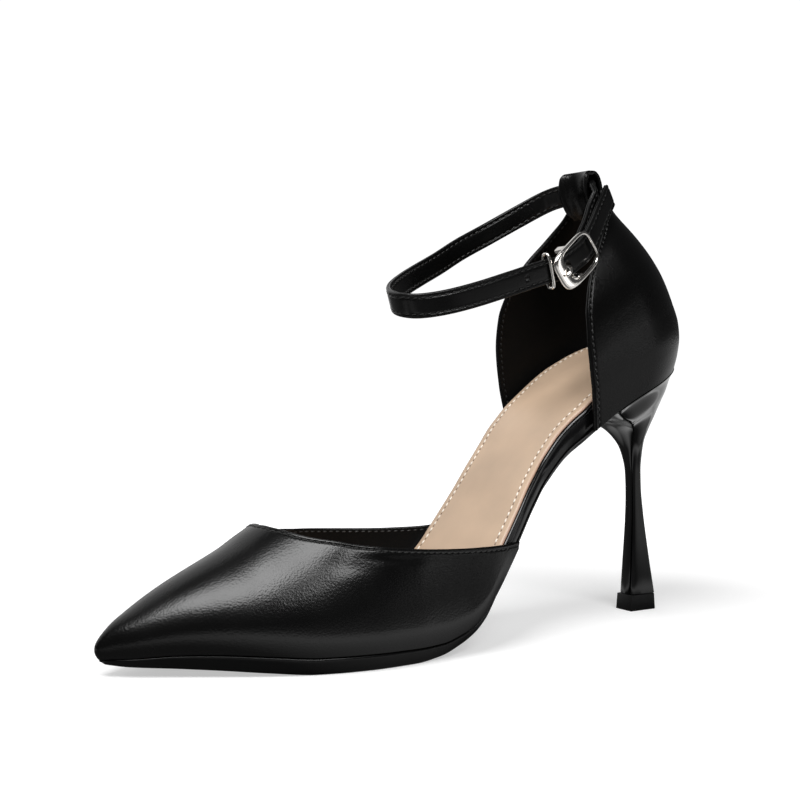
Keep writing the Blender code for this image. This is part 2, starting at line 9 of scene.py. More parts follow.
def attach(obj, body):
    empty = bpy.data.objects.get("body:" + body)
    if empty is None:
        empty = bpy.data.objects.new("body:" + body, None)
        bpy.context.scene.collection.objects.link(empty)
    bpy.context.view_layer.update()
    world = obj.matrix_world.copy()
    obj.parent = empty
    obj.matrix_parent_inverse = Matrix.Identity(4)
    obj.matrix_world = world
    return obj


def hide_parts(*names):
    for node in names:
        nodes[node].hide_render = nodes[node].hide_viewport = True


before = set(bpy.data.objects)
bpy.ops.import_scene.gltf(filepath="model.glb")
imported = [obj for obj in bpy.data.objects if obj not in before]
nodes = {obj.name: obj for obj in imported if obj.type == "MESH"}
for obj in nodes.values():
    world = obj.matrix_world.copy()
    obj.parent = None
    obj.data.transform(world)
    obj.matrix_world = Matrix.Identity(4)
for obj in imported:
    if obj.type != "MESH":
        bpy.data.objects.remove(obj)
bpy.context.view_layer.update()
print("frame loaded:", ", ".join(sorted(nodes)))

mm = 0.001
joinWay, fineJoin = 0.004 * mm, 0.002 * mm  # corners nearer than this are one
# sizes in mm, x from the toe (-) to the heel (+), -y the outer side, counted from the heel tip
shoe = {"shiftX": 99.1, "shiftY": 1.3, "toeX": -209.0, "backX": 8.8, "gap": 0.3, "sock": 0.9}


def toFrame(x, y, z):
    return Vector(((x + shoe["shiftX"]) * mm, (y + shoe["shiftY"]) * mm, z * mm))


def curveThrough(keys, values):  # smooth line through a table's column, with no overshoot
    steps = [b - a for a, b in zip(keys, keys[1:])]
    rises = [(b - a) / h for a, b, h in zip(values, values[1:], steps)]
    slopes = [rises[0]]
    for left, right in zip(rises, rises[1:]):
        slopes.append(0.0 if left * right <= 0.0 else 2.0 * left * right / (left + right))
    slopes.append(rises[-1])

    def at(key):
        i = min(max(bisect_right(keys, key) - 1, 0), len(steps) - 1)
        t = min(max((key - keys[i]) / steps[i], 0.0), 1.0)
        s = 1.0 - t
        ends = values[i] * s * s * (1.0 + 2.0 * t) + values[i + 1] * t * t * (3.0 - 2.0 * t)
        return ends + steps[i] * t * s * (slopes[i] * s - slopes[i + 1] * t)

    return at


def between(ends, t):
    return ends[0] + (ends[1] - ends[0]) * t


def shareOf(ends, x):
    return min(max((x - ends[0]) / (ends[1] - ends[0]), 0.0), 1.0)


def wayOf(u):  # a grid's -1 to 1 as 0 to 1
    return (u + 1.0) / 2.0


def station(x):
    return acos(1.0 - 2.0 * shareOf((shoe["toeX"], shoe["backX"]), x)) / pi


def stationX(s):
    return between((shoe["toeX"], shoe["backX"]), (1.0 - cos(pi * s)) / 2.0)


def columns(rows, scale=None):
    keys = [scale(row[0]) if scale else row[0] for row in rows]
    return [curveThrough(keys, [row[i] for row in rows]) for i in range(1, len(rows[0]))]


def ease(low, high, x):
    t = shareOf((low, high), x)
    return t * t * (3.0 - 2.0 * t)


# bottom line: x, height, outsole, board
rampRows = [
    (-209, 4.2, 1.1, 1.6), (-200, 3.2, 2.7, 1.8), (-188, 2.7, 4.2, 2), (-176, 2, 4.9, 2), (-164, 1, 5.2, 2),
    (-150, 0, 5.3, 2), (-118, 0, 5, 2), (-108, 1, 4.3, 2.2), (-100, 3.6, 3.5, 2.8), (-95, 6.2, 3, 3.4),
    (-90, 10.3, 2.6, 4), (-84.8, 16.6, 2.2, 4.5), (-79, 24.4, 2, 4.8), (-74, 31, 2, 4.9), (-66, 41.2, 2, 5),
    (-58, 50.2, 2, 5.2), (-50, 58.4, 2, 5.8), (-41.4, 65.4, 2, 6.8), (-32.6, 71.2, 2, 7.8),
    (-23.5, 76.4, 2, 8.6), (-11.7, 81.8, 2, 9), (3.6, 87.6, 2, 9), (10, 89.4, 2, 9),
]
# plan: x, outer half width, inner half width
outlineRows = [
    (-209, 0, 0), (-205, 3.6, 3.6), (-200, 7.2, 7.4), (-190, 13.4, 12.8), (-180, 19.3, 18),
    (-170, 24.8, 22.8), (-160, 29.6, 27), (-150, 33.4, 30.4), (-140, 35.8, 33), (-130, 36.8, 34.2),
    (-120, 36.4, 33.4), (-110, 35.2, 30.6), (-100, 34, 26.4), (-90, 33.2, 21.6), (-80, 31, 18.4),
    (-72, 28.6, 18.2), (-65, 26, 19.8), (-58, 23.8, 21.6), (-50, 23.4, 23.6), (-42, 25.2, 25),
    (-30, 25.7, 25.7), (-18, 25.6, 25.6), (-10, 24.7, 24.7), (-2, 21.3, 21.3), (3.4, 16.1, 16.1),
    (7, 9.6, 9.6), (8.8, 0, 0),
]
rampZ, soleThick, boardThick = columns(rampRows)
outerHalf, innerHalf = columns(outlineRows, station)


def layer(x, up):  # a height above the bottom line, measured square to it
    steep = rampZ(x + 0.5) - rampZ(x - 0.5)
    return rampZ(x) + up * hypot(1.0, steep)


def seat(x):
    return layer(x, soleThick(x) + shoe["gap"])


def edgeHalf(half, x, inset):  # half the width of a layer whose edge lies inside the outline
    nudge = 0.2
    steep = (half(station(x + nudge)) - half(station(x - nudge))) / (2.0 * nudge)
    return half(station(x)) - inset * hypot(1.0, steep)


def gridSheet(spans, rows, point):  # a flat grid laid onto a form
    bm = bmesh.new()
    bm.loops.layers.uv.new("UVMap")
    for name in ("edgeWay", "alongWay"):
        bm.verts.layers.float.new(name)
    bmesh.ops.create_grid(bm, x_segments=spans, y_segments=rows, size=1.0, calc_uvs=True)
    flat = {vert: (round(vert.co.x, 5), round(vert.co.y, 5)) for vert in bm.verts}
    for vert, (u, v) in flat.items():
        vert.co = point(u, v)
    return bm, flat


def ringRow(rows, v):  # the row of a closed profile at a line of the grid
    return rows[int(round(wayOf(v) * len(rows))) % len(rows)]


def closeUp(bm, dist=joinWay):  # joins a rolled-up grid and caps what is left open
    bmesh.ops.remove_doubles(bm, verts=bm.verts, dist=dist)
    rims = [edge for edge in bm.edges if edge.is_boundary]
    if rims:
        bmesh.ops.holes_fill(bm, edges=rims)
    bmesh.ops.recalc_face_normals(bm, faces=bm.faces)


def measured(bm, flat, name, value):  # a length in mm kept on the mesh for its material
    mark = bm.verts.layers.float[name]
    for vert, (u, v) in flat.items():
        vert[mark] = value(u, v)


def edgeProfile(look):  # rolled edge with a sunk sewing line beside it
    rollAt, rollWide, lineWide = 0.25, 0.5, 0.33

    def at(way):
        roll = look["roll"] * exp(-((way - rollAt) / rollWide) ** 2)
        return roll - look["sink"] * exp(-((way - look["offset"]) / lineWide) ** 2)

    return at


def pathLength(points):
    ways = [0.0]
    for a, b in zip(points, points[1:]):
        ways.append(ways[-1] + (b - a).length / mm)
    return ways


def rowSpots(point, path, step, samples=600, flip=1.0):  # evenly spaced places along a line on a form
    flats, nudge = [path(i / samples) for i in range(samples + 1)], 0.004
    points = [point(u, v) for u, v in flats]
    ways = pathLength(points)
    spots = []
    for k in range(int(ways[-1] / step)):
        way = (k + 0.5) * step
        i = min(max(bisect_right(ways, way) - 1, 0), samples - 1)
        part = (way - ways[i]) / max(ways[i + 1] - ways[i], 1e-9)
        u, v = [between(ends, part) for ends in zip(flats[i], flats[i + 1])]
        along = (points[i + 1] - points[i]).normalized()
        acrossU = point(u + nudge, v) - point(u - nudge, v)
        acrossV = point(u, v + nudge) - point(u, v - nudge)
        spots.append((point(u, v), along, acrossU.cross(acrossV).normalized() * flip))
    return spots, curveThrough([i / samples for i in range(samples + 1)], ways)


def addObject(name, data):
    made = bpy.data.objects.new(name, data)
    bpy.context.scene.collection.objects.link(made)
    return made


def meshObject(name, bm):
    mesh = bpy.data.meshes.new(name)
    bm.to_mesh(mesh)
    bm.free()
    return addObject(name, mesh)


def addPiece(name, bm, looks, replaced=()):
    piece = meshObject(name, bm)
    for look in looks:
        piece.data.materials.append(look)
    for face in piece.data.polygons:
        face.use_smooth = True
    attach(piece, "root")
    if replaced:
        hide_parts(*replaced)
    return piece


def roundEdges(piece, width, segments, angle):
    step = piece.modifiers.new("round edges", "BEVEL")
    step.width = width * mm
    step.segments = segments
    step.limit_method = "ANGLE"
    step.angle_limit = radians(angle)
    step.use_clamp_overlap = True


def giveWall(piece, wall):
    step = piece.modifiers.new("wall", "SOLIDIFY")
    step.thickness = wall * mm
    step.offset = -1.0
    step.use_even_offset = True


# leather with a turned edge and a lining: the profile runs over the outside, round the edge and back inside
def makeShell(name, form, base, rowAt, flip, lift, wayAlong, looks, node):
    rows, wall, steps, offSeam = form["rows"], form["wall"], 7, -2.0
    turns = [k * pi / steps for k in range(1, steps)]
    profile = [(i, 1, 0.0) for i in range(rows + 1)]
    profile += [(rows, 0, turn) for turn in turns if form["bothEdges"]]
    profile += [(i, -1, 0.0) for i in range(rows, -1, -1)] + [(0, 0, pi - turn) for turn in turns]
    places, ways = {}, {}

    def placeAt(c, i):
        if (c, i) not in places:
            s, nudge = rowAt(c, i), 0.003
            alongC = base(c + nudge, s) - base(c - nudge, s)
            alongS = base(c, s + nudge) - base(c, s - nudge)
            out = alongC.cross(alongS).normalized() * flip
            away = (alongS - out * alongS.dot(out)).normalized() * (1.0 if s > 0.0 else -1.0)
            places[(c, i)] = (base(c, s), out, away)
        return places[(c, i)]

    def edgeWay(c, i):
        if c not in ways:
            ways[c] = pathLength([placeAt(c, k)[0] for k in range(rows + 1)])
        return min(ways[c][i], ways[c][-1] - ways[c][i]) if form["bothEdges"] else ways[c][i]

    def point(c, v):
        i, side, turn = ringRow(profile, v)
        spot, out, away = placeAt(c, i)
        if side > 0:
            return spot + out * lift(c, i, edgeWay(c, i)) * mm
        if side < 0:
            return spot - out * wall * mm
        return spot + (out * (cos(turn) - 1.0) + away * sin(turn)) * wall / 2.0 * mm

    bm, flat = gridSheet(form["spans"], len(profile), point)
    rowOf = {v: ringRow(profile, v) for u, v in flat.values()}
    measured(bm, flat, "edgeWay", lambda c, v: edgeWay(c, rowOf[v][0]) if rowOf[v][1] > 0 else offSeam)
    measured(bm, flat, "alongWay", lambda c, v: wayAlong(c, rowAt(c, rowOf[v][0])))
    for face in bm.faces:
        face.material_index = 1 if max(rowOf[flat[vert][1]][1] for vert in face.verts) < 0 else 0
    closeUp(bm)
    piece = addPiece(name, bm, looks, [node])
    piece.data.set_sharp_from_angle(angle=radians(50.0))


def sew(pieceName, spots, thread, look):  # one rounded stitch at each place
    bm = bmesh.new()
    slant = Matrix.Rotation(radians(thread["slant"]), 3, "Z")
    halves = [thread[name] / 2.0 * mm for name in ("long", "wide", "high")]
    size = Matrix.Diagonal((*halves, 1.0))
    for spot, along, out in spots:
        side = out.cross(along).normalized()
        turn = Matrix((along, side, side.cross(along) * -1.0)).transposed()
        lift = Matrix.Translation(spot + out * thread["lift"] * mm)
        bmesh.ops.create_uvsphere(
            bm, u_segments=8, v_segments=5, radius=1.0, matrix=lift @ (turn @ slant).to_4x4() @ size)
    addPiece(pieceName, bm, [look])


def sewThrough(name, spots, form, outer, inner):  # a seam that shows on the leather and on its lining
    behind = [(spot - out * form["wall"] * mm, along, -out) for spot, along, out in spots]
    sew(name, spots, form["thread"], outer)
    sew(name + "Inner", behind, form["thread"], inner)


def sideSeams(point, line, form):  # a seam along each side, and the way along the nearer one
    seams = {side: rowSpots(point, line(side, form["offset"]), form["step"]) for side in (-1.0, 1.0)}

    def wayAlong(across, along):
        return seams[-1.0 if across < 0.0 else 1.0][1](shareOf(form["seam"], along))

    return seams[-1.0][0] + seams[1.0][0], wayAlong


def fill(tree, node, values):  # each value is a constant or another node's output
    for key, value in values.items():
        if isinstance(value, bpy.types.NodeSocket):
            tree.links.new(value, node.inputs[key])
        else:
            node.inputs[key].default_value = value


def addNode(tree, kind, values=None, **settings):
    node = tree.nodes.new(kind)
    for name, value in settings.items():
        setattr(node, name, value)
    fill(tree, node, values or {})
    return node


def mathNode(tree, operation, *values):
    return addNode(tree, "ShaderNodeMath", dict(enumerate(values)), operation=operation).outputs[0]


def ranged(tree, value, before, after=(0.0, 1.0), smooth=False):  # a value carried from one span to another
    ends = {"Value": value, "From Min": before[0], "From Max": before[1]}
    ends.update({"To Min": after[0], "To Max": after[1]})
    course = "SMOOTHSTEP" if smooth else "LINEAR"
    return addNode(tree, "ShaderNodeMapRange", ends, interpolation_type=course).outputs["Result"]


def newGroup(name, inputs, outputs):
    group = bpy.data.node_groups.new(name, "ShaderNodeTree")
    for labels, way in ((inputs, "INPUT"), (outputs, "OUTPUT")):
        for label in labels:
            kind = "NodeSocketVector" if label == "Vector" else "NodeSocketFloat"
            group.interface.new_socket(label, in_out=way, socket_type=kind)
    return group, group.nodes.new("NodeGroupInput").outputs, group.nodes.new("NodeGroupOutput")


def makeGrain():  # fine pebbled grain with soft drifts
    group, given, put = newGroup("leatherGrain", ("Vector", "Cells"), ("Height", "Drift"))
    cells = addNode(group, "ShaderNodeTexVoronoi", {"Vector": given["Vector"], "Scale": given["Cells"]},
                    feature="SMOOTH_F1")
    finer = mathNode(group, "MULTIPLY", given["Cells"], 2.6)
    fine = addNode(group, "ShaderNodeTexNoise", {"Vector": given["Vector"], "Scale": finer, "Detail": 3.0})
    broad = addNode(group, "ShaderNodeTexNoise", {"Vector": given["Vector"], "Scale": 60.0, "Detail": 3.0})
    pebble = mathNode(group, "MULTIPLY", cells.outputs["Distance"], 0.8)
    speckle = mathNode(group, "MULTIPLY", fine.outputs["Fac"], 0.2)
    fill(group, put, {"Height": mathNode(group, "ADD", pebble, speckle), "Drift": broad.outputs["Fac"]})
    return group


def makeStitchTrack():  # sunk sewing line beside a turned edge, with needle pits
    group, given, put = newGroup(
        "stitchTrack", ("Edge", "Along", "Offset", "Step", "Width"), ("Height", "Pits"))
    away = mathNode(group, "ABSOLUTE", mathNode(group, "SUBTRACT", given["Edge"], given["Offset"]))
    band = ranged(group, away, (0.0, given["Width"]), (1.0, 0.0), True)
    phase = mathNode(group, "FRACT", mathNode(group, "DIVIDE", given["Along"], given["Step"]))
    middle = mathNode(group, "ABSOLUTE", mathNode(group, "SUBTRACT", phase, 0.5))
    # the pits also mask the painted shade laid into the needle holes' colour
    pits = mathNode(group, "MULTIPLY", ranged(group, middle, (0.32, 0.46), smooth=True), band)
    line, needle = mathNode(group, "MULTIPLY", band, -0.55), mathNode(group, "MULTIPLY", pits, -0.45)
    fill(group, put, {"Height": mathNode(group, "ADD", line, needle), "Pits": pits})
    return group


grainGroup = makeGrain()
stitchGroup = makeStitchTrack()


def startMaterial(name):
    made = bpy.data.materials.new(name)
    made.use_nodes = True
    tree = made.node_tree
    return made, tree, tree.nodes["Principled BSDF"]


def placeGroup(tree, group, links):
    return addNode(tree, "ShaderNodeGroup", links, node_tree=group).outputs


def attribute(tree, name):
    return addNode(tree, "ShaderNodeAttribute", attribute_name=name).outputs["Fac"]


def mixColour(tree, share, first, second):
    ends = [(*end, 1.0) if isinstance(end, tuple) else end for end in (first, second)]
    return addNode(tree, "ShaderNodeMix", {0: share, 6: ends[0], 7: ends[1]}, data_type="RGBA").outputs[2]


def leather(name, look):
    made, tree, shader = startMaterial(name)
    spot = addNode(tree, "ShaderNodeTexCoord").outputs["Object"]
    grain = placeGroup(tree, grainGroup, {"Vector": spot, "Cells": look["cells"]})
    bump = addNode(tree, "ShaderNodeBump", {"Height": grain["Height"], "Distance": look["grain"] * mm})
    low = tuple(c * 0.8 for c in look["colour"])
    high = tuple(c * 1.2 for c in look["colour"])
    colour = mixColour(tree, grain["Drift"], low, high)
    if "rim" in look:  # the cut edge shows another tone
        cut = ranged(tree, attribute(tree, "edgeWay"), (look["rimWidth"], 0.0))
        colour = mixColour(tree, cut, colour, look["rim"])
    if "offset" in look:
        track = placeGroup(tree, stitchGroup, {
            "Edge": attribute(tree, "edgeWay"), "Along": attribute(tree, "alongWay"),
            "Offset": look["offset"], "Step": look["step"], "Width": look["width"]})
        bump = addNode(tree, "ShaderNodeBump", {
            "Height": track["Height"], "Distance": look["sink"] * mm, "Normal": bump.outputs["Normal"]})
        # the needle pits are painted darker as well: painted shade in the holes
        colour = mixColour(tree, track["Pits"], colour, look.get("pitShade", (0.001, 0.001, 0.001)))
    rough, drift = look["rough"], look["roughDrift"]
    shine = ranged(tree, grain["Drift"], (0.3, 0.7), (rough - drift, rough + drift))
    fill(tree, shader, {"Base Color": colour, "Roughness": shine, "Normal": bump.outputs["Normal"],
                        "Specular IOR Level": look.get("specular", 0.5)})
    return made


vampLeather = leather("vampLeather", {
    "colour": (0.0018, 0.0018, 0.0018), "rough": 0.25, "roughDrift": 0.03, "cells": 1700.0, "grain": 0.055,
    "offset": 1.0, "step": 2.3, "width": 0.45, "sink": 0.1, "specular": 0.29})
quarterLeather = leather("quarterLeather", {
    "colour": (0.0018, 0.0018, 0.0018), "rough": 0.27, "roughDrift": 0.03, "cells": 1900.0, "grain": 0.05,
    "offset": 1.3, "step": 2.2, "width": 0.6, "sink": 0.15, "specular": 0.2})
strapLeather = leather("strapLeather", {
    "colour": (0.0020, 0.0020, 0.0020), "rough": 0.28, "roughDrift": 0.03, "cells": 2500.0, "grain": 0.025,
    "offset": 1.35, "step": 2.6, "width": 0.5, "sink": 0.12, "specular": 0.25})
innerLining = leather("innerLining", {
    "colour": (0.0030, 0.0030, 0.0030), "rough": 0.5, "roughDrift": 0.05, "cells": 2200.0, "grain": 0.02,
    "specular": 0.12})
# the sock's needle pits are painted dark brown: painted shade in the holes
sockLeather = leather("sockLeather", {
    "colour": (0.5, 0.363, 0.254), "rough": 0.42, "roughDrift": 0.05, "cells": 1700.0, "grain": 0.012,
    "offset": 3.3, "step": 2.6, "width": 0.55, "sink": 0.2, "pitShade": (0.12, 0.07, 0.04),
    "rim": (0.45, 0.28, 0.2), "rimWidth": 0.9})
wrapLeather = leather("wrapLeather", {
    "colour": (0.0026, 0.0026, 0.0027), "rough": 0.2, "roughDrift": 0.03, "cells": 1400.0, "grain": 0.01,
    "specular": 0.4})
heelGloss = leather("heelGloss", {
    "colour": (0.0012, 0.0012, 0.0013), "rough": 0.1, "roughDrift": 0.02, "cells": 500.0, "grain": 0.003,
    "specular": 0.32})
soleRubber = leather("soleRubber", {
    "colour": (0.0022, 0.0022, 0.0022), "rough": 0.3, "roughDrift": 0.04, "cells": 900.0, "grain": 0.012,
    "specular": 0.2})
liftRubber = leather("liftRubber", {
    "colour": (0.0035, 0.0035, 0.0036), "rough": 0.42, "roughDrift": 0.05, "cells": 1200.0, "grain": 0.02,
    "specular": 0.35})


def sewingThread(name, colour, rough, specular=0.5):
    return leather(name, {
        "colour": colour, "rough": rough, "specular": specular, "roughDrift": 0.05, "cells": 3200.0,
        "grain": 0.03})


matteThread = sewingThread("matteThread", (0.021, 0.021, 0.0205), 0.6, 0.25)
# darkThread and greyThread also serve as a shaded and a lit copy of the strap's one thread: painted shade and
# painted light
darkThread = sewingThread("darkThread", (0.005, 0.005, 0.005), 0.55, 0.3)
shinyThread = sewingThread("shinyThread", (0.012, 0.012, 0.012), 0.4)
greyThread = sewingThread("greyThread", (0.012, 0.012, 0.012), 0.5)
creamThread = sewingThread("creamThread", (0.82, 0.75, 0.66), 0.6)


def polishedMetal(name, look):
    made, tree, shader = startMaterial(name)
    spot = addNode(tree, "ShaderNodeTexCoord").outputs["Object"]
    haze = addNode(tree, "ShaderNodeTexNoise", {"Vector": spot, "Scale": 700.0, "Detail": 4.0}).outputs["Fac"]
    rough = ranged(tree, haze, (0.3, 0.7), (look["rough"] - 0.04, look["rough"] + 0.05))
    colour = mixColour(tree, haze, tuple(c * 0.93 for c in look["colour"]), look["colour"])
    fill(tree, shader, {"Base Color": colour, "Roughness": rough, "Metallic": 1.0})
    return made


buckleSilver = polishedMetal("buckleSilver", {"colour": (0.89, 0.86, 0.82), "rough": 0.14})
print("finishes ready")

# vamp: ridge rows are x, rise above the feather line, fullness, sideways shift; topline rows walk, girth, x;
# inner rows lower the inner side's topline; dents are u, way from the edge, half length, half width, depth
vampForm = {
    "ridge": [
        (-209, 0, 0, 0), (-207.6, 5, 0, -0.1), (-206, 7, 0, -0.2), (-203, 9.6, -0.01, -0.4),
        (-198, 12.5, -0.03, -0.8), (-191.4, 16.1, -0.06, -1.2), (-185, 19.5, -0.08, -1.6),
        (-179, 22.6, -0.1, -1.9), (-172.6, 26, -0.11, -2.2), (-166, 29.9, -0.12, -2.5),
        (-160, 34.2, -0.12, -2.7), (-156, 36.9, -0.11, -2.8), (-150, 41.1, -0.09, -2.8),
        (-140, 48.4, -0.03, -2.6), (-130, 55.7, 0.03, -2.2), (-120, 61.8, 0.07, -1.6),
        (-110, 67.3, 0.09, -0.8), (-100, 71.4, 0.1, 0), (-90, 71.7, 0.1, 0), (-80, 70, 0.1, 0),
        (-70, 66, 0.1, 0)],
    "topline": [
        (0, 0, -157), (6, 9, -155.9), (12, 17.6, -153.6), (18, 24.8, -150.9), (24, 31.2, -147.4),
        (30, 37.2, -142.8), (36, 42.6, -137.8), (42, 47, -132.3), (50, 51.2, -124.5), (60, 54.5, -114.6),
        (70, 57.4, -104.6), (80, 60.9, -94.6), (87, 65.2, -87.6), (93, 70.8, -81.6), (97, 78.5, -77.9),
        (99.5, 86, -75.8)],
    "inner": [
        (0, 0), (8, 2.2), (18, 3.6), (30, 3.2), (45, 1.8), (60, 0.7), (75, 0.3), (90, -0.2), (99.5, -2)],
    "swell": 2.2, "swellReach": 14.0, "swellEnd": (-98.0, -76.0), "swellHeight": 8.0, "heightReach": 12.0,
    "underTurn": 0.26, "tuck": 1.9, "tuckReach": 5.0, "tuckHeight": 4.6, "evenSteps": 100, "evenReach": 12,
    "evenFrom": (0.42, 0.58), "wall": 1.1, "edgeRoom": 0.5, "throat": 0.16, "bothEdges": False, "spans": 180,
    "rows": 90, "crowd": 1.5, "roll": 0.08, "sink": 0.14, "offset": 1.0, "step": 2.3, "seam": (-0.972, 0.972),
    "rollFade": (1.0, 0.97),
    "thread": {"long": 1.7, "wide": 0.6, "high": 0.5, "lift": -0.1, "slant": 8.0},
    "dents": [(0.52, 4.4, 0.09, 1.7, 0.3), (0.40, 8.0, 0.07, 3.5, 0.2)],
}
ridgeRise, ridgeFull, ridgeShift = columns(vampForm["ridge"], station)
topGirth, topX = columns(vampForm["topline"])
innerLower, = columns(vampForm["inner"])


def lastPoint(p, q):
    s = hypot(p, q)
    x = stationX(s)
    outer, inner = outerHalf(s), innerHalf(s)
    reach, middle = (outer + inner) / 2.0, (inner - outer) / 2.0
    swell = vampForm["swell"] * (1.0 - ease(*vampForm["swellEnd"], x))
    swell *= 1.0 - exp(-reach / vampForm["swellReach"])
    lift = vampForm["swellHeight"] * (1.0 - exp(-reach / vampForm["heightReach"]))
    base, rise, full = seat(x), ridgeRise(s) - lift, ridgeFull(s)
    side = 1.0 if p >= 0.0 else -1.0
    turn = abs(atan2(p, q)) * (1.0 + vampForm["underTurn"])
    if turn <= pi / 2.0:
        y = (reach + swell) * sin(turn) * (1.0 + full * cos(turn) ** 2)
        z = base + lift + rise * cos(turn) * (1.0 + full * sin(turn) ** 2)
    else:
        t = (turn - pi / 2.0) / (vampForm["underTurn"] * pi / 2.0)
        y = reach + swell - swell * t * t
        z = base + lift * (1.0 - t)
    shift = ridgeShift(s) * max(cos(turn), 0.0) ** 2
    low = max(1.0 - (z - base) / vampForm["tuckHeight"], 0.0)
    tuck = vampForm["tuck"] * exp(-reach / vampForm["tuckReach"])  # the toe rounds in to the sole
    return toFrame(x + tuck * low * low, middle + shift + side * y, z)


def rawVamp(u, v):
    side = 1.0 if u <= 0.0 else -1.0
    walk = min(abs(u), 1.0) * vampForm["topline"][-1][0]
    lower = innerLower(walk) if u < 0.0 else 0.0
    girth, s = radians(topGirth(walk) + lower), station(topX(walk))
    return lastPoint(side * s * sin(girth), s * cos(girth) * wayOf(v))


def evenLine(side):  # the wing's topline, run in one even sweep
    steps, reach = vampForm["evenSteps"], vampForm["evenReach"]
    line = [rawVamp(side * i / steps, 1.0) for i in range(steps + 1)]
    line += [2.0 * line[steps] - line[steps - k] for k in range(1, reach + 1)]
    weights = [reach + 1 - abs(k) for k in range(-reach, reach + 1)]
    even = line[:reach]
    for i in range(reach, steps + 1):
        near = line[i - reach:i + reach + 1]
        even.append(sum((spot * weight for spot, weight in zip(near, weights)), Vector()) / sum(weights))
    return even


evenLines = {side: evenLine(side) for side in (-1.0, 1.0)}


def vampPoint(u, v):
    spot = rawVamp(u, v)
    share = ease(*vampForm["evenFrom"], abs(u)) * shareOf((-1.0, 1.0), v) ** 3
    if share > 0.0:
        step = min(abs(u), 1.0) * vampForm["evenSteps"]
        i = min(int(step), vampForm["evenSteps"] - 1)
        even = evenLines[-1.0 if u < 0.0 else 1.0]
        spot += (even[i].lerp(even[i + 1], step - i) - rawVamp(u, 1.0)) * share
    return spot


def vampSteep(u):  # mm on the form for each unit of v, at the topline
    back = 0.02
    return (vampPoint(u, 1.0) - vampPoint(u, 1.0 - back)).length / mm / back


def vampRow(u, i):  # rows crowd towards the topline, and leave room there for the turned edge
    room = vampForm["edgeRoom"] * (1.0 - ease(vampForm["throat"], 0.0, abs(u)))
    spare = room * vampForm["wall"] / 2.0 / vampSteep(u)
    return 1.0 - spare - (2.0 - spare) * (i / vampForm["rows"]) ** vampForm["crowd"]


def vampLine(offset):  # a line that keeps its distance below the topline
    def at(t):
        u = between(vampForm["seam"], t)
        return u, vampRow(u, 0) - offset / max(vampSteep(u), offset)

    return at


def makeVamp(form):
    spots, wayAlong = rowSpots(vampPoint, vampLine(form["offset"]), form["step"])
    profile = edgeProfile(form)

    def lift(u, i, way):
        height = profile(way) * ease(*form["rollFade"], abs(u))
        for atU, atWay, halfU, halfWay, depth in form["dents"]:
            height -= depth * exp(-((u - atU) / halfU) ** 2 - ((way - atWay) / halfWay) ** 2)
        return height

    def seamWay(u, v):
        return wayAlong(shareOf(form["seam"], u))

    makeShell("vampSkin", form, vampPoint, vampRow, 1.0, lift, seamWay, [vampLeather, innerLining], "vamp")
    sewThrough("vampStitches", spots, form, matteThread, greyThread)


makeVamp(vampForm)
print("vamp sewn")

# quarter: cup rows are rise, front, back, half width, depth of the back curve; fold rows are step, x, z
quarterForm = {
    "cup": [
        (0, -41, 9, 25.8, 27.2), (4.5, -41.6, 10.3, 26.4, 27.4), (9.2, -42.3, 10.8, 27, 27.5),
        (16, -43.2, 9.8, 27.6, 27.4), (24, -44.2, 6.8, 27.6, 27), (34, -45, 2.4, 27, 26),
        (42, -44.8, -2.2, 25.8, 24), (50, -42.2, -7.2, 23.2, 22), (56, -37, -11.2, 20.2, 20),
        (60, -31.4, -13.8, 16.8, 17), (65, -25.6, -16.6, 12.8, 14), (72, -22.8, -19.4, 10.4, 14)],
    "fold": [
        (0, 0, 0), (1, -0.7, 3.2), (2, -1.9, 5.6), (3, -4, 6.9), (4, -6.7, 6.8), (5, -8.4, 5.2),
        (6, -8.8, 2.6), (7, -8.5, -0.6), (8, -7.2, -4.1), (9, -5, -7.6), (10, -2.1, -9.8)],
    "foldShare": 0.32, "level": 0.6, "levelFrom": (60.0, 72.0), "wall": 1.6, "edgeRoom": 0.7,
    "bothEdges": True, "spans": 150, "rows": 110, "roll": 0.15, "sink": 0.24, "offset": 1.3, "step": 2.2,
    "seam": (-0.975, 0.35), "seamFade": (0.5, 0.3), "crowd": 1.5,
    "thread": {"long": 1.6, "wide": 0.75, "high": 0.65, "lift": -0.02, "slant": 10.0},
}
cupFront, cupBack, cupHalf, cupDepth = columns(quarterForm["cup"])
foldX, foldZ = columns(quarterForm["fold"])


def cupCurve(front, back, half, depth, t):
    centre = back - depth
    if front >= centre:
        angle = (2.0 * t - 1.0) * acos(min((front - centre) / depth, 1.0))
    else:
        straight = centre - front
        arc = pi * sqrt((depth * depth + half * half) / 2.0)
        walk = t * (2.0 * straight + arc)
        if walk < straight:
            return front + walk, -half
        if walk > straight + arc:
            return front + (2.0 * straight + arc - walk), half
        angle = (walk - straight) / arc * pi - pi / 2.0
    return centre + depth * cos(angle), half * sin(angle)


def quarterPoint(u, v):
    way, t = shareOf((-1.0, 1.0), u), shareOf((-1.0, 1.0), v)
    share = quarterForm["foldShare"]
    top = quarterForm["cup"][-1][0]
    rise = min(top * t / (1.0 - share), top)
    back = cupBack(rise)
    x, y = cupCurve(cupFront(rise), back, cupHalf(rise), cupDepth(rise), way)
    level = quarterForm["level"] * ease(*quarterForm["levelFrom"], rise)
    z = seat(x + (back - x) * level) + rise
    if t > 1.0 - share:
        step = (t - 1.0 + share) / share * (len(quarterForm["fold"]) - 1)
        x, z = x + foldX(step), z + foldZ(step)
    return toFrame(x, y, z)


def quarterSide(v, u):  # the same form read from the front edges
    return quarterPoint(u, v)


def quarterSteep(side, v):  # mm on the form for each unit of u, at a front edge
    back = 0.02
    return (quarterPoint(side, v) - quarterPoint(side * (1.0 - back), v)).length / mm / back


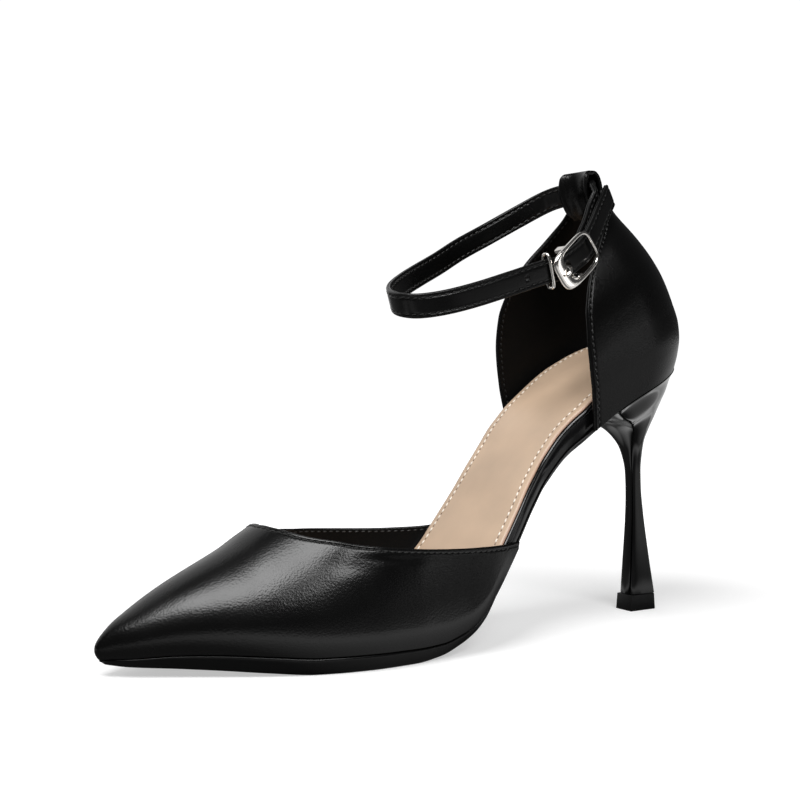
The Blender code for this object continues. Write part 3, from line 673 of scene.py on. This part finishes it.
def quarterRow(v, i):
    share = 2.0 * i / quarterForm["rows"] - 1.0
    side = 1.0 if share > 0.0 else -1.0
    spare = quarterForm["edgeRoom"] * quarterForm["wall"] / 2.0 / max(quarterSteep(side, v), 1.0)
    return side * (1.0 - (1.0 - abs(share)) ** quarterForm["crowd"]) * (1.0 - spare)


def quarterLine(side, offset):
    def at(t):
        v = between(quarterForm["seam"], t)
        edge = quarterRow(v, quarterForm["rows"] if side > 0.0 else 0)
        return edge - side * offset / max(quarterSteep(side, v), offset * 1.2), v

    return at


def makeQuarter(form):
    spots, wayAlong = sideSeams(quarterPoint, quarterLine, form)
    profile = edgeProfile(form)

    def lift(v, i, way):
        return profile(way) * ease(*form["seamFade"], v)

    def seamWay(v, u):
        return wayAlong(u, v)

    looks = [quarterLeather, innerLining]
    makeShell("quarterSkin", form, quarterSide, quarterRow, -1.0, lift, seamWay, looks, "quarter")
    sewThrough("quarterStitches", spots, form, shinyThread, darkThread)


makeQuarter(quarterForm)
print("quarter sewn")

# strap: bends are x, y, z, forward tilt; face and edge give half the section across, edge rows also out,
# with a slit between the two plies
strapForm = {
    "bends": [
        (-51.4, -21.9, 125.7, 20), (-44.5, -20.6, 130.4, 20), (-39.2, -18.2, 136, 20), (-34.2, -15, 142, 21),
        (-30.2, -12.8, 147.6, 22), (-28.7, -9.6, 151, 20), (-25, -5, 152.5, 19), (-22.9, 0, 152.9, 19),
        (-25, 5, 152.4, 19), (-28.9, 10.2, 151.3, 20), (-31.6, 16.2, 149.4, 22), (-39, 22, 144.4, 21),
        (-50, 25.6, 138, 20), (-61.8, 25.6, 132.2, 20), (-73, 23, 126.6, 19), (-83.6, 18.8, 122.2, 18),
        (-93.6, 12.8, 118.4, 17), (-102.6, 5, 114.9, 16), (-108.6, -4, 112.2, 16), (-109.8, -12, 110.6, 16),
        (-106.4, -18, 110.2, 16), (-98.6, -21.8, 111.5, 17), (-88, -23.8, 114.2, 18), (-76, -25, 117.8, 19),
        (-62.6, -25.6, 121.8, 20), (-56.2, -25.4, 123.3, 20), (-50, -24.8, 126.4, 20),
        (-44, -23.6, 130.4, 20), (-38.5, -21.2, 136, 20), (-33.2, -18.2, 141.8, 21), (-28.2, -15.2, 147, 22),
        (-24.6, -13.1, 150.6, 22)],
    "face": (-3.62, -3.35, -3.05, -2.85, -2.65, -2.45, -2.2, -1.6, -0.8, 0.0, 0.8, 1.6, 2.2, 2.45, 2.65, 2.85,
             3.05, 3.35, 3.62),
    "edge": [
        (3.88, 0.68), (3.99, 0.42), (3.96, 0.16), (3.84, 0), (3.96, -0.16), (3.99, -0.42), (3.88, -0.68)],
    "half": 4.0, "faceOut": 0.84, "crown": 0.06, "groove": 0.16, "grooveWide": 0.3, "slantCut": 0.011,
    "round": 0.2, "spans": 400, "samples": 800, "offset": 1.35, "step": 2.6, "seam": (-0.985, 0.965),
    "thread": {"long": 1.95, "wide": 0.5, "high": 0.45, "lift": -0.06, "slant": 6.0},
    "holeRow": 23.4, "holeRadius": 0.8, "prongRow": 26.0, "prongAhead": -4.2, "prongRadius": 1.35,
    "punch": 6.0, "join": 0.01, "slantFrom": 0.96, "faceFrom": 0.6,
}
strapPoints = [Vector(row[:3]) for row in strapForm["bends"]]
strapSpans = len(strapPoints) - 1
strapSteps = [i / strapSpans for i in range(strapSpans + 1)]
strapTilt = curveThrough(strapSteps, [row[3] for row in strapForm["bends"]])


def strapSection(form):  # both faces crowned and sunk along the sewing lines
    face, line = [], form["half"] - form["offset"]
    for b in form["face"]:
        sink = form["groove"] * exp(-((abs(b) - line) / form["grooveWide"]) ** 2)
        crown = form["crown"] * (1.0 - (b / form["face"][-1]) ** 2)
        face.append((b, form["faceOut"] + crown - sink))
    half = face + form["edge"]
    return half + [(-b, -c) for b, c in half]


fullSection = strapSection(strapForm)


def strapSpot(t):
    span = t * strapSpans
    i = min(int(span), strapSpans - 1)
    f = span - i
    p1, p2 = strapPoints[i], strapPoints[i + 1]
    p0 = strapPoints[i - 1] if i > 0 else p1 + (p1 - p2)
    p3 = strapPoints[i + 2] if i + 2 <= strapSpans else p2 + (p2 - p1)
    bend = 2.0 * p0 - 5.0 * p1 + 4.0 * p2 - p3
    twist = 3.0 * (p1 - p2) + p3 - p0
    return 0.5 * (2.0 * p1 + (p2 - p0) * f + bend * f * f + twist * f * f * f)


def strapFrame(t):
    nudge = 0.002
    along = (strapSpot(min(t + nudge, 1.0)) - strapSpot(max(t - nudge, 0.0))).normalized()
    tilt = radians(strapTilt(t))
    up = Vector((-sin(tilt), 0.0, cos(tilt)))
    across = (up - along * up.dot(along)).normalized()
    return strapSpot(t), along, across, along.cross(across).normalized()


def onStrap(t, b, c):
    spot, along, across, out = strapFrame(min(max(t, 0.0), 1.0))
    return toFrame(*(spot + across * b + out * c))


def strapFace(c):  # a side of the strap as a form to sew on
    return lambda u, v: onStrap(wayOf(u), v * strapForm["half"], c)


def strapLine(v):  # a sewing line along the strap
    return lambda t: (between(strapForm["seam"], t), v)


def drill(piece, spot, axis, radius, depth):  # a punched hole
    bm = bmesh.new()
    turn = axis.to_track_quat("Z", "Y").to_matrix().to_4x4()
    bmesh.ops.create_cone(bm, cap_ends=True, segments=20, radius1=radius * mm, radius2=radius * mm,
                          depth=depth * mm, matrix=Matrix.Translation(spot) @ turn)
    punch = meshObject("punch", bm)
    step = piece.modifiers.new("hole", "BOOLEAN")
    step.operation, step.solver, step.object = "DIFFERENCE", "EXACT", punch
    cut = bpy.data.meshes.new_from_object(piece.evaluated_get(bpy.context.evaluated_depsgraph_get()))
    piece.modifiers.remove(step)
    piece.data = cut
    bpy.data.objects.remove(punch, do_unlink=True)


def makeStrap(form):
    def point(u, v):
        b, c = ringRow(fullSection, v)
        t = wayOf(u)
        slant = form["slantCut"] * (1.0 - b / form["half"]) / 2.0
        return onStrap(t - slant * ease(form["slantFrom"], 1.0, t), b, c)

    def edgeWay(u, v):
        b, c = ringRow(fullSection, v)
        return form["half"] - abs(b) if abs(c) > form["faceFrom"] else -1.0  # no sewing line on the edge

    bm, flat = gridSheet(form["spans"], len(fullSection), point)
    steps = [i / form["samples"] for i in range(form["samples"] + 1)]
    wayAlong = curveThrough(steps, pathLength([onStrap(t, 0.0, 0.0) for t in steps]))
    measured(bm, flat, "edgeWay", edgeWay)
    measured(bm, flat, "alongWay", lambda u, v: wayAlong(wayOf(u)))
    closeUp(bm, form["join"] * mm)
    piece = addPiece("ankleStrap", bm, [strapLeather], ["ankle_strap"])
    for row, ahead, radius in ((form["holeRow"], 0.0, form["holeRadius"]),
                               (form["prongRow"], form["prongAhead"], form["prongRadius"])):
        spot, along, across, out = strapFrame(row / strapSpans)
        drill(piece, toFrame(*(spot + along * ahead)), out, radius, form["punch"])
    roundEdges(piece, form["round"], segments=2, angle=60.0)
    weld = piece.modifiers.new("weld", "WELD")  # joins the slivers at the holes' rims
    weld.merge_threshold = joinWay
    across = 1.0 - form["offset"] / form["half"]
    # the outer rows take the darker thread and the inner rows the lighter one: one thread painted shaded
    # outside and lit inside
    rows = (("strapStitchesOuter", 1.0, darkThread), ("strapStitchesInner", -1.0, greyThread))
    for name, flip, look in rows:
        face, spots = strapFace(flip * form["faceOut"]), []
        for v in (-across, across):
            spots += rowSpots(face, strapLine(v), form["step"], form["samples"], flip)[0]
        sew(name, spots, form["thread"], look)


makeStrap(strapForm)
print("strap sewn")

# how far the edges of sole and board lie inside the outline: at the sides, more at the toe, more at the back
insetForms = {
    "sole": {"sides": 0.4, "toe": 0.9, "toeReach": 11.0, "back": 1.8, "backRun": (-96.0, -74.0)},
    "board": {"sides": 2.2, "toe": 2.6, "toeReach": 17.0, "back": 0.5, "backRun": (-46.0, -40.0)},
}
# sock: a thin beige sheet on the board, sewn near its edges
sockForm = {
    "inside": 0.5, "roll": 0.55, "rollFrom": 0.955, "wall": 0.85, "spans": 200, "rows": 40, "offset": 3.3,
    "step": 2.6, "seam": (-0.96, 0.94),
    "thread": {"long": 1.7, "wide": 0.72, "high": 0.5, "lift": 0.04, "slant": 5.0},
}


def insetLine(form):
    def at(x):
        toe = form["toe"] * (1.0 - ease(shoe["toeX"], shoe["toeX"] + form["toeReach"], x))
        return form["sides"] + toe + form["back"] * ease(*form["backRun"], x)

    return at


soleInset, boardInset = insetLine(insetForms["sole"]), insetLine(insetForms["board"])


def sockInset(x):
    return boardInset(x) + sockForm["inside"]


def bothHalves(x, inset):
    return [edgeHalf(half, x, inset(x)) for half in (outerHalf, innerHalf)]


def slabEnds(inset):  # where a slab is still wide enough to be made
    low, high, step, leastToe, leastBack = 0.01, 0.99, 0.002, 1.0, 2.0
    while min(bothHalves(stationX(low), inset)) < leastToe:
        low += step
    while min(bothHalves(stationX(high), inset)) < leastBack:
        high -= step
    return low, high


sockEnds = slabEnds(sockInset)


def sockSpan(u):
    x = stationX(between(sockEnds, wayOf(u)))
    outer, inner = bothHalves(x, sockInset)
    return x, -outer, inner


def sockPoint(u, v):
    x, outer, inner = sockSpan(min(max(u, -1.0), 1.0))
    y = (outer + inner) / 2.0 + (inner - outer) / 2.0 * v
    top = soleThick(x) + 2.0 * shoe["gap"] + boardThick(x) + shoe["sock"]
    roll = sockForm["roll"] * ease(sockForm["rollFrom"], 1.0, abs(v)) ** 2
    return toFrame(x, y, layer(x, top - roll))


def sockLine(side, offset):
    def at(t):
        u = between(sockForm["seam"], t)
        x, outer, inner = sockSpan(u)
        return u, side * (1.0 - offset / max((inner - outer) / 2.0, offset * 1.3))

    return at


def makeSock(form):
    bm, flat = gridSheet(form["spans"], form["rows"], sockPoint)
    spots, wayAlong = sideSeams(sockPoint, sockLine, form)

    def edgeWay(u, v):
        x, outer, inner = sockSpan(u)
        return (inner - outer) / 2.0 * (1.0 - abs(v))

    measured(bm, flat, "edgeWay", edgeWay)
    measured(bm, flat, "alongWay", lambda u, v: wayAlong(v, u))
    piece = addPiece("sockSheet", bm, [sockLeather], ["sock"])
    giveWall(piece, form["wall"])
    sew("sockStitches", spots, form["thread"], creamThread)


makeSock(sockForm)
print("sock sewn")

# sole and board: their edges run from the bottom to the top as inset, share of the height, drop from the
# top; the sole has a rounded shoulder, the wrapped board a bead along its upper edge
slabForms = {
    "sole": {
        "spans": 230, "endX": -31.4, "nose": 0.55, "noseReach": 13.0, "edge": [
            (2.4, 0, 0), (1.95, 0.02, 0), (1.6, 0.09, 0), (1.25, 0.22, 0), (0.8, 0.42, 0), (0.35, 0.6, 0),
            (0, 0.72, 0), (-0.2, 0.82, 0), (-0.2, 0.9, 0), (0, 0.965, 0), (0.35, 0.995, 0), (0.8, 1, 0)]},
    "board": {
        "spans": 230, "nose": 0.0, "noseReach": 1.0, "edge": [
            (0.5, 0, 0), (0.16, 0.03, 0), (0.02, 0.12, 0), (0, 0.34, 0), (0.06, 1, 2.3), (0.3, 1, 1.85),
            (0.34, 1, 1.65), (0.1, 1, 1.4), (-0.08, 1, 1.05), (-0.1, 1, 0.7), (0.02, 1, 0.32),
            (0.24, 1, 0.08), (0.55, 1, 0)]},
}


def makeSlab(name, form, ends, inset, base, thick, look, node):
    edge, leastHalf = form["edge"], 0.15
    profile = [(0, 0.0, 0.0, 0.0)] + [(1, *row) for row in edge]  # from the middle below to the middle above
    profile += [(0, 0.0, 1.0, 0.0)] + [(-1, *row) for row in reversed(edge)]

    def point(u, v):
        x = stationX(between(ends, wayOf(u)))
        side, more, share, drop = ringRow(profile, v)
        half = outerHalf if side < 0 else innerHalf
        y = side * max(edgeHalf(half, x, inset(x)) - more, leastHalf)
        up = max(thick(x) * share - drop, 0.0)
        nose = form["nose"] * (1.0 - ease(0.0, 1.0, (u + 1.0) * form["noseReach"]))
        return toFrame(x, y, layer(x, base(x) + up + (thick(x) - up) * nose))

    bm, flat = gridSheet(form["spans"], len(profile), point)
    closeUp(bm)
    addPiece(name, bm, [look], [node])


soleEnds = slabEnds(soleInset)[0], station(slabForms["sole"]["endX"])
makeSlab("outsoleSlab", slabForms["sole"], soleEnds, soleInset,
         lambda x: 0.0, soleThick, soleRubber, "outsole")
makeSlab("boardWrap", slabForms["board"], slabEnds(boardInset), boardInset,
         lambda x: soleThick(x) + shoe["gap"], boardThick, wrapLeather, "insole_board")
print("sole and board shaped")

# heel: rings are level, front, front height, back, back height, half width, corner depth
heelForm = {
    "rings": [
        (0, -5.6, 6.1, 6.6, 6.1, 4, 1.6), (1, -5.2, 11, 5.8, 11, 3.8, 1.6), (2, -4.8, 18, 4.8, 17, 3.5, 1.6),
        (3, -4.3, 27, 3.4, 26, 3.1, 1.6), (4, -3.8, 37, 2, 36, 2.7, 1.6), (5, -3.9, 45, 1.1, 45, 2.5, 1.7),
        (6, -4.3, 52, 0.9, 52, 2.6, 2), (7, -5, 56, 1.2, 57.5, 3.2, 2.6), (8, -5.9, 60, 1.7, 63, 4.5, 3.6),
        (9, -7.3, 63.4, 2.9, 68, 6.8, 5.4), (10, -9.9, 66.8, 4.4, 73.4, 10.4, 8.8),
        (11, -14.6, 69.4, 6, 79.2, 14.8, 14.2), (12, -22.2, 71.2, 7.6, 84.6, 19.8, 20.5)],
    "around": 96, "rows": 120, "breast": 24, "cornerTurns": 100, "cornerWay": 0.125, "flareTurns": 14,
    "flareFrom": 11.2, "flareTo": 12.9, "rimFront": -31.0, "rimBack": -0.2, "rimHalf": 25.3, "rimDepth": 27.0,
    "rimOut": 0.75, "rimFrom": 0.85, "rimRound": 0.3,
}
heelColumns = columns(heelForm["rings"])


def heelPoint(u, v):
    last = len(heelForm["rings"]) - 1
    level = wayOf(v) * (last + 1.0)
    front, frontZ, back, backZ, half, depth = [column(min(level, last)) for column in heelColumns]
    way = wayOf(u)
    breast = heelForm["breast"] / heelForm["around"]

    def ring(front, back, half, depth):
        if way <= 1.0 - breast:
            return cupCurve(front, back, half, depth, way / (1.0 - breast))
        return front, half * (1.0 - 2.0 * (way - 1.0 + breast) / breast)

    x, y = ring(front, back, half, depth)
    z = frontZ + (backZ - frontZ) * (x - front) / (back - front)
    if level > last:
        part = level - last
        # the rim stands out a little under the quarter
        rim = heelForm["rimOut"] * ease(heelForm["rimFrom"], 1.0, part)
        rimX, rimY = ring(heelForm["rimFront"], shoe["backX"] + heelForm["rimBack"] + rim,
                          heelForm["rimHalf"] + rim, heelForm["rimDepth"] + rim)
        rimZ = layer(rimX, soleThick(rimX))
        x, y, z = between((x, rimX), part), between((y, rimY), part), between((z, rimZ), part)
    return toFrame(x, y, z)


def makeHeel(form):
    bm, flat = gridSheet(form["around"], form["rows"], heelPoint)
    breast = form["breast"] / form["around"]
    corners, flare = set(), set()  # the corners are smoothed level by level, the flare in all directions
    for vert, (u, v) in flat.items():
        way, level = wayOf(u), wayOf(v) * len(form["rings"])
        near = min(way, 1.0 - way, abs(way - 1.0 + breast))
        if level < form["flareFrom"] and near < form["cornerWay"]:
            corners.add(vert)
        if form["flareFrom"] <= level < form["flareTo"]:
            flare.add(vert)
    bmesh.ops.remove_doubles(bm, verts=bm.verts, dist=fineJoin)
    for verts, turns in ((corners, form["cornerTurns"]), (flare, form["flareTurns"])):
        for turn in range(turns):
            bmesh.ops.smooth_vert(bm, verts=[v for v in verts if v.is_valid], factor=0.5, use_axis_x=True,
                                  use_axis_y=True, use_axis_z=verts is flare)
    closeUp(bm, fineJoin)
    caps = [face for face in bm.faces if len(face.verts) > 8]
    seatFace = max(caps, key=lambda face: face.calc_center_median().z)
    bmesh.ops.bevel(bm, geom=list(seatFace.edges), offset=form["rimRound"] * mm, affect="EDGES", segments=4,
                    profile=0.5, material=-1)
    piece = addPiece("heelBlock", bm, [heelGloss], ["heel"])
    piece.data.set_sharp_from_angle(angle=radians(45.0))


makeHeel(heelForm)
print("heel lofted")


def tidyCopy(name, node, look):  # the node's own shape with its facets joined
    bm = bmesh.new()
    bm.from_mesh(nodes[node].data)
    bmesh.ops.remove_doubles(bm, verts=bm.verts, dist=fineJoin)
    bmesh.ops.join_triangles(bm, faces=bm.faces, angle_face_threshold=0.6, angle_shape_threshold=1.2)
    return addPiece(name, bm, [look], [node])


roundEdges(tidyCopy("topLift", "top_lift", liftRubber), 0.3, segments=3, angle=38.0)
smooth = tidyCopy("buckleProng", "buckle_prong", buckleSilver).modifiers.new("smooth", "SUBSURF")
smooth.levels = smooth.render_levels = 2

# buckle: a along the strap, b across it, c outwards; the frame is a flat ring with a wide plate at one end
buckleForm = {
    "row": 26.0, "turn": 8.0, "ahead": -0.9, "long": 20.8, "wide": 13.4, "plate": 4.8, "end": 1.2,
    "side": 1.1, "under": 1.2, "thick": 1.2, "bow": 0.5, "spans": 112, "around": 20, "barA": -2.3,
    "barC": -2.0, "barLong": 11.9, "barRadius": 0.7, "lugLong": 2.6, "lugLow": -2.8, "lugHigh": 1.7,
    "lugIn": 4.75, "lugOut": 6.35, "lugRound": 0.5,
}
keeperForm = {
    "row": 24.15, "turn": 0.0, "b": 5.7, "c": 1.7, "thick": 0.9, "wide": 1.2, "spans": 96, "around": 16,
}


def buckleAxes(form):
    spot, along, across, out = strapFrame(form["row"] / strapSpans)
    turn = Matrix.Rotation(radians(form["turn"]), 3, out)
    axes = Matrix((turn @ along, turn @ across, out)).transposed()
    return Matrix.Translation(toFrame(*spot)) @ axes.to_4x4()


def roundRect(reachA, reachB, turn, power=4.0):
    a, b = cos(turn), sin(turn)
    reach = (abs(a / reachA) ** power + abs(b / reachB) ** power) ** (-1.0 / power)
    return a * reach, b * reach


def makeBuckle(form):
    place = buckleAxes(form)
    reach = form["long"] / 2.0
    window = (form["long"] - form["plate"] - form["end"]) / 2.0
    windowAt = (form["plate"] - form["end"]) / 2.0

    def point(u, v):
        ao, bo = roundRect(reach, form["wide"] / 2.0, pi * u)
        ai, bi = roundRect(window, form["wide"] / 2.0 - form["side"], pi * u)
        p, q = roundRect(1.0, 1.0, pi * v, 3.0)
        a = (ao * (1.0 + p) + (ai + windowAt) * (1.0 - p)) / 2.0
        b = (bo * (1.0 + p) + bi * (1.0 - p)) / 2.0
        bow = form["bow"] * (1.0 - (a / reach) ** 2)
        c = form["under"] + (form["thick"] + bow) * wayOf(q)
        return place @ (Vector((a + form["ahead"], b, c)) * mm)

    bm, flat = gridSheet(form["spans"], form["around"], point)
    closeUp(bm)
    size = Matrix.Diagonal((form["lugLong"] * mm, (form["lugOut"] - form["lugIn"]) * mm,
                            (form["lugHigh"] - form["lugLow"]) * mm, 1.0))
    lugB, lugC = (form["lugIn"] + form["lugOut"]) / 2.0, (form["lugHigh"] + form["lugLow"]) / 2.0
    for side in (-1.0, 1.0):  # lugs that hold the bar behind the strap
        centre = Vector((form["barA"], side * lugB, lugC))
        lug = bmesh.ops.create_cube(bm, size=1.0, matrix=place @ Matrix.Translation(centre * mm) @ size)
        rim = list({edge for vert in lug["verts"] for edge in vert.link_edges})
        bmesh.ops.bevel(bm, geom=rim, offset=form["lugRound"] * mm, affect="EDGES", segments=4, profile=0.5,
                        material=-1)
    barSpot, radius = Vector((form["barA"], 0.0, form["barC"])), form["barRadius"] * mm
    lie = Matrix.Translation(barSpot * mm) @ Matrix.Rotation(pi / 2.0, 4, "X")
    bmesh.ops.create_cone(bm, cap_ends=True, segments=24, radius1=radius, radius2=radius,
                          depth=form["barLong"] * mm, matrix=place @ lie)
    bmesh.ops.recalc_face_normals(bm, faces=bm.faces)
    addPiece("buckleFrame", bm, [buckleSilver], ["buckle_frame"])


def makeKeeper(form):
    place = buckleAxes(form)

    def point(u, v):
        grow = form["thick"] / 2.0 * cos(pi * v)
        b, c = roundRect(form["b"] + grow, form["c"] + grow, pi * u)
        return place @ (Vector((form["wide"] / 2.0 * sin(pi * v), b, c)) * mm)

    bm, flat = gridSheet(form["spans"], form["around"], point)
    closeUp(bm)
    addPiece("buckleKeeper", bm, [buckleSilver], ["buckle_keeper"])


makeBuckle(buckleForm)
makeKeeper(keeperForm)
print("lift and buckle finished")

# studio: runs are in metres from the shoe's middle, with the tones at their two ends; the camera sees seen, a
# floor glow rising away from the shoe; beside and behind are glow strips that only the glossy leather's
# mirrored rays see, a painted reflection;
# base is the floor's tone for mirrors and camera, darker for mirrors, which paints a dimmer floor reflection
floorForm = {
    "seenRun": (0.11, 0.36), "seen": (0.5, 1.03), "startRun": (0.03, 0.055), "besideRun": (0.062, 0.1),
    "beside": (1.14, 0.023), "behindRun": (0.15, 0.35), "behind": (0.0, 0.72), "base": (0.08, 0.54),
}
floorBm = bmesh.new()
bmesh.ops.create_grid(floorBm, x_segments=4, y_segments=4, size=12.0)
floor = meshObject("studioFloor", floorBm)
floorLook, floorTree, floorShader = startMaterial("paleFloor")
floorSpot = addNode(floorTree, "ShaderNodeTexCoord").outputs["Object"]
floorWay = addNode(floorTree, "ShaderNodeVectorMath", {0: floorSpot}, operation="LENGTH").outputs["Value"]
floorGlow = ranged(floorTree, floorWay, floorForm["seenRun"], floorForm["seen"], True)
floorSeen = addNode(floorTree, "ShaderNodeLightPath").outputs["Is Camera Ray"]
floorParts = addNode(floorTree, "ShaderNodeSeparateXYZ", {0: floorSpot}).outputs
floorAside = mathNode(floorTree, "ABSOLUTE", floorParts["Y"])
floorStart = ranged(floorTree, floorAside, floorForm["startRun"])
floorEnd = ranged(floorTree, floorAside, floorForm["besideRun"], floorForm["beside"])
behindMirrorGlow = ranged(floorTree, floorParts["X"], floorForm["behindRun"], floorForm["behind"])
besideMirrorGlow = mathNode(floorTree, "MULTIPLY", floorStart, floorEnd)
# the glow strips beside and behind the shoe exist only for mirrored rays: a painted reflection on the glossy
# leather
floorMirrorGlow = mathNode(floorTree, "MAXIMUM", besideMirrorGlow, behindMirrorGlow)
floorTone = ranged(floorTree, floorSeen, (0.0, 1.0), (floorMirrorGlow, floorGlow))
# the floor is darker for mirrored rays than for the camera: a painted dimmer reflection of the floor
floorPale = ranged(floorTree, floorSeen, (0.0, 1.0), floorForm["base"])
fill(floorTree, floorShader, {
    "Emission Color": floorTone, "Base Color": floorPale, "Emission Strength": 1.0, "Roughness": 0.6})
floor.data.materials.append(floorLook)


def softbox(name, look):
    light = bpy.data.lights.new(name, "AREA")
    light.shape = "RECTANGLE"
    light.size, light.size_y = look["size"]
    light.energy = look["energy"]
    box = addObject(name, light)
    box.location = look["at"]
    aim = Vector(look["aim"]) - Vector(look["at"])
    box.rotation_euler = aim.to_track_quat("-Z", "Y").to_euler()


softboxes = {
    "keyBox": {"size": (0.6, 0.5), "energy": 13.0, "at": (-0.5, -0.25, 1.0), "aim": (-0.06, 0.0, 0.03)},
    "frontBox": {"size": (0.46, 0.32), "energy": 4.9, "at": (-0.1, -0.72, 0.76), "aim": (-0.05, 0.0, 0.04)},
    "sideCard": {"size": (0.14, 0.14), "energy": 0.1, "at": (0.58, -0.62, 0.145), "aim": (0.04, -0.03, 0.12)},
    "backPanel": {"size": (2.2, 1.4), "energy": 6.5, "at": (-0.2, 1.3, 0.75), "aim": (0.0, 0.0, 0.05)},
}
for name, look in softboxes.items():
    softbox(name, look)

world = bpy.data.worlds.new("studioAir")
bpy.context.scene.world = world
world.use_nodes = True
air = world.node_tree
dim = air.nodes["Background"]
dim.inputs["Color"].default_value = (0.06, 0.06, 0.061, 1.0)
bright = addNode(air, "ShaderNodeBackground", {"Color": (1.0, 1.0, 1.0, 1.0), "Strength": 1.05})
seen = addNode(air, "ShaderNodeLightPath").outputs["Is Camera Ray"]
blend = addNode(air, "ShaderNodeMixShader", {0: seen, 1: dim.outputs[0], 2: bright.outputs[0]})
air.links.new(blend.outputs[0], air.nodes["World Output"].inputs["Surface"])

view = {"at": (-346.31, -393.45, 98.02), "turn": 31.7327, "down": 2.2804, "lens": 63.0}
camera = addObject("camera", bpy.data.cameras.new("camera"))
camera.data.lens = view["lens"]
camera.data.sensor_width = 36.0
camera.data.clip_start, camera.data.clip_end = 0.01, 100.0
camera.location = toFrame(*view["at"])
camera.rotation_euler = (radians(90.0 - view["down"]), 0.0, radians(-view["turn"]))
bpy.context.scene.camera = camera
bpy.context.scene.view_settings.view_transform = "Standard"
print("studio set")
